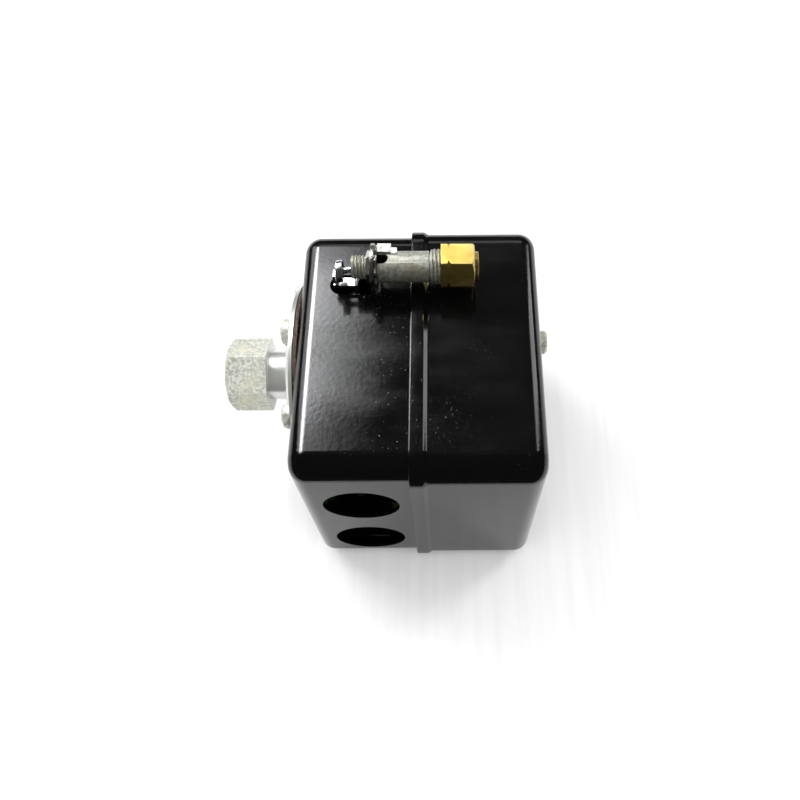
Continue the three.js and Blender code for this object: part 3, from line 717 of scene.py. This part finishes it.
show(
    boolean(
        turned([(-1.45, 0), (-1.45, 28.6, 0.4), (-0.15, 28.6, 0.4), (-0.15, 0)], PORT_Y, PORT_Z, 128),
        [rod(2.25, -3, 1, y, z, 32) for y, z in BOLT_SPOTS],
    ),
    "diaphragm", RUBBER, bevel=0.05,
)
for number, (y, z) in enumerate(BOLT_SPOTS, 1):
    head = turned(
        [
            (-5.8, 0), (-5.8, 2.2, 1.2), (-5.1, 3.7, 0.9), (-4.2, 4.1, 0.5), (-2.95, 4.1, 0.15), (-2.95, 2.0),
            (4.6, 2.0, 0.3), (4.6, 0),
        ],
        y, z, 64,
    )
    spin = Matrix.Rotation(math.radians(17 * number + 20), 4, "X")
    middle = Matrix.Translation((0, y, z))
    slots = [box(-8, -4.7, -0.45, 0.45, -2.3, 2.3), box(-8, -4.7, -2.3, 2.3, -0.45, 0.45)]
    for slot in slots:
        slot.data.transform(middle @ spin)
    show(boolean(head, slots), f"flange_screw_{number}", ZINC, bevel=0.08)

show(
    turned(
        [
            (-0.1, 0), (-0.1, 14.9, 0.1), (0.35, 14.9, 0.1), (0.35, 4.5, 0.3),
            (3.87, 4.5), (4.8, 3.5), (5.5, 2.1), (5.82, 0.9), (5.9, 0),
        ],
        PORT_Y, PORT_Z, 96,
    ),
    "pusher", PHENOLIC,
)


# ---------------------------------------------------------------- frame and operating plate
def ear(y, reach, tip):
    return [
        (1.3, y - reach), (tip - 2.3, y - reach), (tip, y - reach + 2.5), (tip, y + reach - 2.5),
        (tip - 2.3, y + reach), (1.3, y + reach),
    ]


def rounded_outline(y0, y1, z0, z1, r, steps=8):
    points = []
    corners = ((y1 - r, z1 - r, 0), (y0 + r, z1 - r, 90), (y0 + r, z0 + r, 180), (y1 - r, z0 + r, 270))
    for cy, cz, start in corners:
        for k in range(steps + 1):
            a = math.radians(start + 90 * k / steps)
            points.append((cy + r * math.cos(a), cz + r * math.sin(a)))
    return points


pin_hole = along_z(rod(1.57, -25, 12, 0, 0, 48), PIVOT_X, PIVOT_Y)
frame_piece = prism(rounded_outline(-32, 34, -32, 32, 4), 0, 1.3, 3.1)
frame_piece = boolean(
    frame_piece,
    [
        prism(ear(PIVOT_Y, 5, 12.3), 2, PLATE_Z0 - 1.8, PLATE_Z0 - 0.3),
        prism(ear(PIVOT_Y, 5, 12.3), 2, PLATE_Z1 + 0.3, PLATE_Z1 + 1.8),
    ],
    "UNION",
)
frame_piece = boolean(
    frame_piece,
    [
        rod(4.85, 0, 4, PORT_Y, PORT_Z, 64), rod(2.56, 0, 4, STUD_Y, STUD_Z, 48),
        rod(1.67, 0, 4, DIFF_Y, DIFF_Z, 32), rod(2.07, 0, 4, GROUND_Y, GROUND_Z, 32), pin_hole,
    ]
    + [rod(1.78, 0, 4, y, z, 32) for y, z in BLOCK_SCREWS]
    + [rod(2.08, 0, 4, y, z, 32) for y, z in BOLT_SPOTS],
)
show(frame_piece, "frame", PLATED, bevel=0.15)
show(
    along_z(
        turned(
            [(-19.3, 0), (-19.3, 2.4, 0.5), (-18.36, 2.4), (-18.36, 1.5), (7.1, 1.5, 0.4), (7.1, 0)], 0, 0, 48
        ),
        PIVOT_X, PIVOT_Y,
    ),
    "pivot_pin", STEEL,
)

lug = [(6, -7), (9, -7), (11.4, -5), (11.4, -1), (9, 1), (6, 1)]
plate = boolean(
    box(6, 7.6, -24, 34, PLATE_Z0, PLATE_Z1),
    [prism(lug, 2, PLATE_Z0, PLATE_Z0 + 1.5), prism(lug, 2, PLATE_Z1 - 1.5, PLATE_Z1)],
    "UNION",
)
plate = boolean(
    plate,
    [
        rod(3.72, 4, 9, STUD_Y, STUD_Z, 48), rod(2.72, 4, 9, DIFF_Y, DIFF_Z, 48),
        rod(0.96, 4, 9, 17, 15, 24), rod(0.96, 4, 9, 22, 15, 24),
        along_z(rod(1.59, -25, 12, 0, 0, 48), PIVOT_X, PIVOT_Y),
    ],
)
show(plate, "operating_plate", PLATED, bevel=0.18)

arm_path = [
    (4.75, 10.8, 0), (4.75, 26, 1.2), (16.4, 33, 1.2), (16.4, 40.1, 0.3),
    (10.65, 40.1, 1.2), (10.65, 45.4, 0.4), (11.8, 45.4, 0.4), (11.8, 41.3, 0.4),
    (17.6, 41.3, 1.0), (17.6, 32.4, 1.2), (5.95, 25.4, 1.2), (5.95, 10.8, 0),
]
arm = prism(fillet(arm_path, 6), 1, 16.9, 22.6)
arm = boolean(
    arm,
    [
        box(9, 13, 12, 17.2, 41.8, 50), box(9, 19, 19.6, 28, 39.9, 50),
        rod(0.96, 4, 7, 17, 15, 24), rod(0.96, 4, 7, 22, 15, 24),
    ],
)
show(arm, "unloader_arm", PLATED, bevel=0.16)
for number, y in enumerate((17, 22), 1):
    show(
        turned(
            [
                (4.1, 0), (4.1, 1.1, 0.3), (4.7, 1.5, 0.1), (4.7, 0.92),
                (7.65, 0.92), (7.65, 1.35, 0.2), (8.1, 0.95, 0.2), (8.1, 0),
            ],
            y, 15, 32,
        ),
        f"arm_rivet_{number}", STEEL,
    )


# ---------------------------------------------------------------- range and differential adjustment
def adjusted_spring(node, washer, coil, wire, x0, x1, turns, y, z):
    """A spring in two halves, one at the plate's cup and one at the washer under its nut, each left in place,
    attached to no body.
    """
    middle = at((x0 + x1) / 2, y, z)
    halves = (
        ("_near", (0, 0.5), ("operating_plate", "housing", at(x0 + 2 * wire, y, z), middle)),
        ("_far", (0.5, 1), ("housing", washer, middle, at(x1 - 2 * wire, y, z))),
    )
    for suffix, part, between in halves:
        half = spring(coil, wire, x0, x1, turns, y, z, part=part)
        show(half, node, STEEL, weighted=False, between=between, suffix=suffix)


stud = turned(
    [(1.35, 0), (1.35, 2.5), (3.15, 2.5), (3.15, 3.7, 0.2), (4.7, 3.7, 0.2), (4.7, 2.5), (30, 2.5), (30, 0)],
    STUD_Y, STUD_Z, 64,
)
show(
    together(stud, thread(29.8, 74.4, 2.5, 0.3, 0.8, STUD_Y, STUD_Z, 40, 0.0, 7)),
    "range_stud", STEEL, weighted=False,
)
show(
    turned(
        [
            (7.65, 3.7), (7.65, 7.4, 0.5), (9.9, 7.4, 0.15), (9.9, 6.95, 0.1),
            (9.25, 6.9, 0.2), (9.25, 3.7, 0.1), (7.65, 3.7),
        ],
        STUD_Y, STUD_Z,
    ),
    "spring_cup", PLATED,
)
adjusted_spring("range_spring", "range_washer", 5.8, 1.0, 9.3, 41.9, 7, STUD_Y, STUD_Z)
show(
    turned(
        [(41.95, 2.6), (41.95, 7.4, 0.3), (43.4, 7.4, 0.3), (43.4, 2.6, 0.2), (41.95, 2.6)], STUD_Y, STUD_Z
    ),
    "range_washer", PLATED,
)
show(
    boolean(hexagon(12.7, 43.45, 49.6, STUD_Y, STUD_Z, 0, 1.0), [rod(2.6, 40, 52, STUD_Y, STUD_Z, 48)]),
    "range_nut", PLATED, bevel=0.12,
)
diff_stud = turned(
    [(1.35, 0), (1.35, 1.6), (3.15, 1.6), (3.15, 2.5, 0.2), (4.4, 2.5, 0.2), (4.4, 1.6), (24, 1.6), (24, 0)],
    DIFF_Y, DIFF_Z, 48,
)
show(
    together(diff_stud, thread(23.8, 40, 1.6, 0.2, 0.5, DIFF_Y, DIFF_Z, 32, 0.0, 7)),
    "diff_stud", STEEL, weighted=False,
)
show(
    turned(
        [(7.65, 2.75), (7.65, 3.4, 0.2), (8.8, 3.4, 0.2), (8.8, 2.75, 0.1), (7.65, 2.75)], DIFF_Y, DIFF_Z, 48
    ),
    "diff_cup", PLATED,
)
adjusted_spring("diff_spring", "diff_washer", 2.7, 0.5, 8.85, 30.9, 9, DIFF_Y, DIFF_Z)
show(
    turned(
        [(30.95, 1.7), (30.95, 3.4, 0.2), (31.9, 3.4, 0.2), (31.9, 1.7, 0.1), (30.95, 1.7)],
        DIFF_Y, DIFF_Z, 48,
    ),
    "diff_washer", PLATED,
)
show(
    boolean(hexagon(6.6, 31.95, 35.2, DIFF_Y, DIFF_Z, 0, 0.5), [rod(1.7, 30, 37, DIFF_Y, DIFF_Z, 32)]),
    "diff_nut", PLATED, bevel=0.1,
)
cover_nut = turned(
    [
        (70.35, 0), (70.35, 4.6, 0.2), (71.2, 4.6, 0.3), (71.5, 3.9, 0.2),
        (75.3, 3.9, 0.3), (76, 3.3, 0.4), (76, 0),
    ],
    STUD_Y, STUD_Z, 96,
)
cover_nut = boolean(cover_nut, [rod(2.65, 69, 74.8, STUD_Y, STUD_Z, 48), box(74.9, 77, 10, 26, 5.45, 6.55)])
show(cover_nut, "cover_nut", ZINC, bevel=0.08)

# ---------------------------------------------------------------- contact block and terminals
block_piece = boolean(
    box(25.6, 36.05, -27.9, -3, -30, 30),
    [box(30, 42, -30.3, -14.5, z - 0.9, z + 0.9) for z in (-28, -14, 0, 14, 28)]
    + [box(3.15, 26, y - 4, y + 4, z - 4, z + 4) for y, z in BLOCK_SCREWS],
    "UNION",
)
block_piece = boolean(
    block_piece,
    [rod(1.85, 2, 40, y, z, 32) for y, z in BLOCK_SCREWS]
    + [rod(1.6, 28, 40, TERMINAL_Y, z, 32) for z in TERMINAL_ZS]
    + [box(20, 40, -18.4, -14.6, -3.4, 3.4)],
)
show(block_piece, "contact_block", BROWN, bevel=0.3)


def slotted_screw(low, seat, top, shank, head, y, z):
    """A cheese-head screw along X with a slot across its head."""
    body = turned(
        [
            (low, 0), (low, shank, 0.3), (seat, shank), (seat, head, 0.15),
            (top - 0.5, head, 0.5), (top, head - 0.7, 0.3), (top, 0),
        ],
        y, z, 48,
    )
    return boolean(body, [box(top - 0.9, top + 1, y - 5, y + 5, z - 0.42, z + 0.42)])


for number, (y, z) in enumerate(BLOCK_SCREWS, 1):
    show(slotted_screw(1.4, 36.1, 38.1, 1.7, 3.2, y, z), f"block_screw_{number}", STEEL, bevel=0.07)
for number, z in enumerate(TERMINAL_ZS, 1):
    strip = prism(
        fillet(
            [
                (24.5, -18.6), (24.5, -29.1, 0.9), (37.1, -29.1, 0.9), (37.1, -17), (36.1, -17),
                (36.1, -28.1, 0.3), (25.5, -28.1, 0.3), (25.5, -18.6),
            ],
            4,
        ),
        2, z - 4.2, z + 4.2,
    )
    strip = boolean(strip, [rod(1.65, 30, 40, TERMINAL_Y, z, 32)])
    button = turned([(23.35, 0), (23.35, 1.5, 0.3), (23.7, 2, 0.2), (24.6, 2), (24.6, 0)], CONTACT_Y, z, 40)
    # Terminal strips in brass darkened as painted shade.
    show(together(strip, button), f"terminal_{number}", SHADED_BRASS, bevel=0.1)
    clamp = boolean(box(37.15, 38.3, -26.6, -18.2, z - 4.1, z + 4.1), [rod(1.65, 30, 40, TERMINAL_Y, z, 32)])
    show(clamp, f"terminal_clamp_{number}", PLATED, bevel=0.25)
    screw = slotted_screw(29, 38.35, 40.9, 1.5, 3.3, TERMINAL_Y, z)
    show(screw, f"terminal_screw_{number}", STEEL, bevel=0.07)

foot = prism([(7.7, -20.6), (9, -21.8), (12.1, -21.8), (12.1, -19.8), (7.7, -20)], 2, 1, 11)
carrier = boolean(
    box(12, 15, -24, -17, -24, 24),
    [foot, box(14.9, 34, -18, -15, -3, 3)] + [rod(1.3, 14.9, 24.3, CONTACT_Y, z, 40) for z in POST_ZS],
    "UNION",
)
show(carrier, "contact_carrier", PHENOLIC, bevel=0.2)
for number, z in enumerate(POST_ZS, 1):
    bridge = boolean(box(20.9, 21.9, -23, -19, z - 9.6, z + 9.6), [rod(1.65, 20, 26, CONTACT_Y, z, 32)])
    buttons = [
        turned([(21.8, 0), (21.8, 2), (22.9, 2, 0.2), (23.25, 1.5, 0.3), (23.25, 0)], CONTACT_Y, z + dz, 40)
        for dz in (-7, 7)
    ]
    # Contact bridges in brass darkened as painted shade.
    show(together(bridge, *buttons), f"contact_bridge_{number}", SHADED_BRASS, bevel=0.1)
    coil = spring(2.1, 0.35, 15.05, 20.85, 5, CONTACT_Y, z, 10, 32)
    show(coil, f"contact_spring_{number}", STEEL, weighted=False)

ground = together(
    turned(
        [(1.4, 0), (1.4, 2), (3.2, 2), (3.2, 4.6, 0.2), (4.15, 4.6, 0.3), (4.15, 0)], GROUND_Y, GROUND_Z, 64
    ),
    boolean(
        hexagon(6.4, 4.1, 6.8, GROUND_Y, GROUND_Z, 0, 0.5),
        [box(6, 8, -32, -20, GROUND_Z - 0.5, GROUND_Z + 0.5)],
    ),
)
show(ground, "ground_screw", GREEN, bevel=0.08)

# ---------------------------------------------------------------- unloader valve
head_outline = [
    (VALVE_Y + 6.6, 40.0), (22.6, 38.4), (22.6, 35.4), (16.4, 35.4), (16.4, 38.4), (VALVE_Y - 6.6, 40.0)
]
for k in range(25):
    a = math.pi - math.pi * k / 24
    head_outline.append((VALVE_Y + 6.6 * math.cos(a), VALVE_Z + 6.6 * math.sin(a)))
bracket = boolean(
    prism(head_outline, 0, 21.9, 23), [box(21.9, 31, 16.4, 32, 35.4, 36.7)], "UNION"
)
bracket = boolean(
    bracket,
    [rod(3.58, 20, 25, VALVE_Y, VALVE_Z, 64)]
    + [along_z(rod(1.58, -38, -34, 0, 0, 24), RIVET_X, y) for y in RIVET_YS],
)
show(bracket, "valve_bracket", BRACKET, bevel=0.12)
for number, y in enumerate(RIVET_YS, 1):
    rivet = turned(
        [
            (-38.9, 0), (-38.9, 1.4, 0.4), (-38.05, 2.6, 0.2), (-38.05, 1.5),
            (-35.35, 1.5), (-35.35, 2.2, 0.2), (-34.6, 2.0, 0.3), (-34.6, 0),
        ],
        0, 0, 40,
    )
    show(along_z(rivet, RIVET_X, y), f"bracket_rivet_{number}", DARK)

VENT_Y = VALVE_Y - 0.05
barrel = turned(
    [
        (20.2, 0), (20.2, 3.1), (23.75, 3.1), (23.75, 4.4, 0.2), (38.3, 4.4, 0.15), (38.3, 4.0, 0.1),
        (38.7, 4.0, 0.1), (38.7, 4.4), (47.9, 4.3), (47.9, 0),
    ],
    VALVE_Y, VALVE_Z, 96,
)
valve = boolean(
    barrel,
    [
        box(23.75, 27.6, VALVE_Y + 1.7, VALVE_Y + 4.6, VALVE_Z - 1, VALVE_Z + 4.8),
        box(27.5, 29.3, VALVE_Y + 1.4, VALVE_Y + 3.4, VALVE_Z, VALVE_Z + 4.5),
    ],
    "UNION",
)
valve = boolean(
    valve,
    [
        rod(1.8, 15, 26, VALVE_Y, VALVE_Z, 32),
        rod(2.9, 24.7, 39.7, VALVE_Y, VALVE_Z, 48),
        rod(1.6, 39, 44, VALVE_Y, VALVE_Z, 32),
        turned([(43, 0), (43, 3), (48.6, 4.1), (48.6, 0)], VALVE_Y, VALVE_Z, 48),
        box(23, 25.1, VENT_Y - 1.7, VENT_Y + 1.7, VALVE_Z + 1.5, VALVE_Z + 8),
        along_z(rod(1.7, -VALVE_Z - 8, -VALVE_Z - 1.5, 0, 0, 48), 25.1, VENT_Y),
    ],
)
inlet_thread = thread(16.35, 21.2, 3.45, 0.42, 0.95, VALVE_Y, VALVE_Z, 72, 2.6)
outlet_thread = thread(38.75, 47.3, 5.0, 0.42, 1.06, VALVE_Y, VALVE_Z, 72, 4.3)
show(together(valve, inlet_thread, outlet_thread), "valve_body", CASTING, bevel=0.12, angle=38)
show(
    boolean(hexagon(8.2, 20.55, 21.8, VALVE_Y, VALVE_Z, 0, 0.35), [rod(3.5, 19, 23, VALVE_Y, VALVE_Z, 64)]),
    "jam_nut", PLATED, bevel=0.08,
)
star = []
for k in range(20):
    a = k * math.pi / 10
    for part, r in ((-0.05, 5.1 if k % 2 else 6.1), (0.05, 5.1 if k % 2 else 6.1)):
        star.append((VALVE_Y + r * math.cos(a + part), VALVE_Z + r * math.sin(a + part)))
show(
    boolean(prism(star, 0, 23.05, 23.7), [rod(3.5, 22, 25, VALVE_Y, VALVE_Z, 64)]),
    "star_washer", PLATED, bevel=0.06,
)
STEM_BEND_X, STEM_DROOP = 21.0, math.tan(math.radians(8))
stem = turned(
    [
        (11.9, 0), (11.9, 3.2, 0.3), (13.8, 3.2, 0.35), (13.8, 0.9, 0.15), (14.8, 0.9), (16, 0.9), (18, 0.9),
        (20, 0.9), (22, 0.9), (30.3, 0.9), (30.3, 2.5, 0.2), (31.7, 2.5, 0.2), (31.7, 0.9), (34.4, 0.9, 0.3),
        (34.4, 0),
    ],
    VALVE_Y, VALVE_Z, 72,
)
STEM_DOWN = Vector((0, -0.8957, -0.4448))
for vertex in stem.data.vertices:
    reach = STEM_BEND_X - vertex.co.x
    if reach > 0:
        vertex.co += STEM_DOWN * (reach * STEM_DROOP)
show(stem, "valve_stem", STEEL)
show(
    spring(2.1, 0.35, 31.8, 39.6, 6, VALVE_Y, VALVE_Z, 10, 32), "valve_spring", STEEL, weighted=False,
    between=("stem", "housing", at(32.5, VALVE_Y, VALVE_Z), at(38.9, VALVE_Y, VALVE_Z)),
)

nut = boolean(
    hexagon(12.0, 41.6, 51.05, VALVE_Y, VALVE_Z, math.pi / 6, 1.0, 0.4),
    [turned([(50.5, 0), (50.5, 4.15), (52.2, 4.15, 0.35), (52.2, 0)], VALVE_Y, VALVE_Z, 96)],
    "UNION",
)
nut = boolean(
    nut,
    [
        turned([(41, 0), (41, 5.6), (41.9, 5.1), (48.1, 5.1), (50.6, 3.25), (50.6, 0)], VALVE_Y, VALVE_Z, 96),
        turned([(50, 0), (50, 3.25), (51.9, 3.25), (52.3, 3.6), (54, 3.6), (54, 0)], VALVE_Y, VALVE_Z, 96),
        turned(
            [(43.3, 8), (43.3, 6.9), (43.8, 6.3), (44.3, 6.9), (44.3, 8), (43.3, 8)],
            VALVE_Y, VALVE_Z, 96,
        ),
    ],
)
show(nut, "compression_nut", BRASS, angle=28)
show(
    turned(
        [(47.1, 3.2), (47.1, 3.4), (48, 3.75), (48.4, 4.25), (50.2, 3.4), (50.2, 3.2), (47.1, 3.2)],
        VALVE_Y, VALVE_Z,
    ),
    "ferrule", BRASS,
)

# ---------------------------------------------------------------- camera
CAMERA_DOWN, CAMERA_TURN, CAMERA_LENS, CAMERA_SHIFT = 63.59, -0.45, 35.11, -0.0606
camera_data = bpy.data.cameras.new("camera")
camera = bpy.data.objects.new("camera", camera_data)
bpy.context.scene.collection.objects.link(camera)
camera.location = at(42.7, -113.2, 228.5)
camera.rotation_euler = (math.radians(90 - CAMERA_DOWN), 0, math.radians(CAMERA_TURN))
camera_data.lens, camera_data.sensor_width = CAMERA_LENS, 36
camera_data.shift_x = CAMERA_SHIFT
camera_data.dof.use_dof = False
camera_data.clip_start, camera_data.clip_end = 0.01, 20
bpy.context.scene.camera = camera

# ---------------------------------------------------------------- floor and light
floor_finish = Finish("white_table", (0.86, 0.86, 0.87), 0.6, Specular_IOR_Level=0.2)
streaks = floor_finish.noise(34, 5, 0.6, (9, 0.35, 1))
floor_finish.color(
    floor_finish.mix(floor_finish.ramp(streaks, 0.35, 0.7), (0.9, 0.9, 0.9), (0.84, 0.845, 0.85))
)
floor_finish.rough(floor_finish.spread(streaks, 0.5, 0.7))
floor_finish.bump(streaks, 0.03)


def flat(name, corners, material):
    mesh = bpy.data.meshes.new(name)
    mesh.from_pydata(corners, [], [(0, 1, 2, 3)])
    mesh.materials.append(material)
    obj = bpy.data.objects.new(name, mesh)
    bpy.context.scene.collection.objects.link(obj)
    return obj


def rectangle(x0, x1, y0, y1, z):
    return [(x0, y0, z), (x1, y0, z), (x1, y1, z), (x0, y1, z)]


WIDE, TABLE_EDGE = 1.6, -0.104
flat("floor", rectangle(-WIDE, WIDE, TABLE_EDGE, WIDE, 0), floor_finish.material)
floor_front = flat("floor_front", rectangle(-WIDE, WIDE, -WIDE, TABLE_EDGE, 0), floor_finish.material)
floor_front.visible_glossy = False


def softbox(name, place, aim, width, height, power, color=(1, 1, 1), mirrored=True):
    data = bpy.data.lights.new(name, "AREA")
    data.shape, data.size, data.size_y = "RECTANGLE", width, height
    data.energy, data.color = power, color
    light = bpy.data.objects.new(name, data)
    light.location = place
    light.rotation_euler = (Vector(aim) - Vector(place)).to_track_quat("-Z", "Y").to_euler()
    light.visible_glossy = mirrored
    bpy.context.scene.collection.objects.link(light)


def cloud(name, corners, brightness, base, density, low, high, centre, reach):
    """A soft uneven patch of light, seen only in reflections."""
    material = bpy.data.materials.new(name)
    material.use_nodes = True
    tree = material.node_tree
    tree.nodes.clear()
    output = tree.nodes.new("ShaderNodeOutputMaterial")
    emission = tree.nodes.new("ShaderNodeEmission")
    emission.inputs["Color"].default_value = (0.97, 0.98, 1, 1)
    place = tree.nodes.new("ShaderNodeTexCoord").outputs["Object"]
    noise = tree.nodes.new("ShaderNodeTexNoise")
    noise.inputs["Scale"].default_value = density
    noise.inputs["Detail"].default_value = 3
    tree.links.new(place, noise.inputs["Vector"])
    ramp = tree.nodes.new("ShaderNodeMapRange")
    ramp.inputs["From Min"].default_value, ramp.inputs["From Max"].default_value = low, high
    tree.links.new(noise.outputs["Fac"], ramp.inputs["Value"])
    mapping = tree.nodes.new("ShaderNodeMapping")
    mapping.inputs["Location"].default_value = tuple(-c / r for c, r in zip(centre, reach))
    mapping.inputs["Scale"].default_value = tuple(1 / r for r in reach)
    tree.links.new(place, mapping.inputs["Vector"])
    fall = tree.nodes.new("ShaderNodeTexGradient")
    fall.gradient_type = "QUADRATIC_SPHERE"
    tree.links.new(mapping.outputs["Vector"], fall.inputs["Vector"])
    gain = tree.nodes.new("ShaderNodeMath")
    gain.operation = "MULTIPLY_ADD"
    gain.inputs[1].default_value, gain.inputs[2].default_value = brightness, base
    tree.links.new(fall.outputs["Fac"], gain.inputs[0])
    product = tree.nodes.new("ShaderNodeMath")
    product.operation = "MULTIPLY"
    tree.links.new(ramp.outputs["Result"], product.inputs[0])
    tree.links.new(gain.outputs["Value"], product.inputs[1])
    tree.links.new(product.outputs["Value"], emission.inputs["Strength"])
    tree.links.new(emission.outputs["Emission"], output.inputs["Surface"])
    card = flat(name, corners, material)
    card.visible_camera = card.visible_diffuse = card.visible_shadow = False
    card.visible_transmission = False


softbox("overhead", (-0.1, -0.3, 1.5), (0, 0, 0), 3.4, 3.4, 60, (1, 1, 0.99), mirrored=False)
softbox("back_left", (-0.6, 0.48, 0.62), (0, 0, 0.04), 0.42, 0.55, 3.6)
softbox("back_right", (0.7, 0.45, 0.6), (0, 0, 0.04), 0.25, 0.6, 3)
softbox("back", (0.05, 0.86, 0.78), (0, 0, 0.08), 0.6, 0.25, 0.9)
HIGH = 0.72
cloud(
    "window_glow", rectangle(-0.9, 0.6, 0, 0.6, HIGH), brightness=180, base=0.16, density=14,
    low=0.2, high=0.62, centre=(-0.37, 0.44, HIGH), reach=(0.34, 0.42, 1),
)

world = bpy.data.worlds.new("studio")
world.use_nodes = True
background = world.node_tree.nodes["Background"]
background.inputs["Color"].default_value = (0.95, 0.96, 1.0, 1)
background.inputs["Strength"].default_value = 0.06
bpy.context.scene.world = world
bpy.context.scene.view_settings.view_transform = "Standard"
bpy.context.scene.view_settings.look = "None"
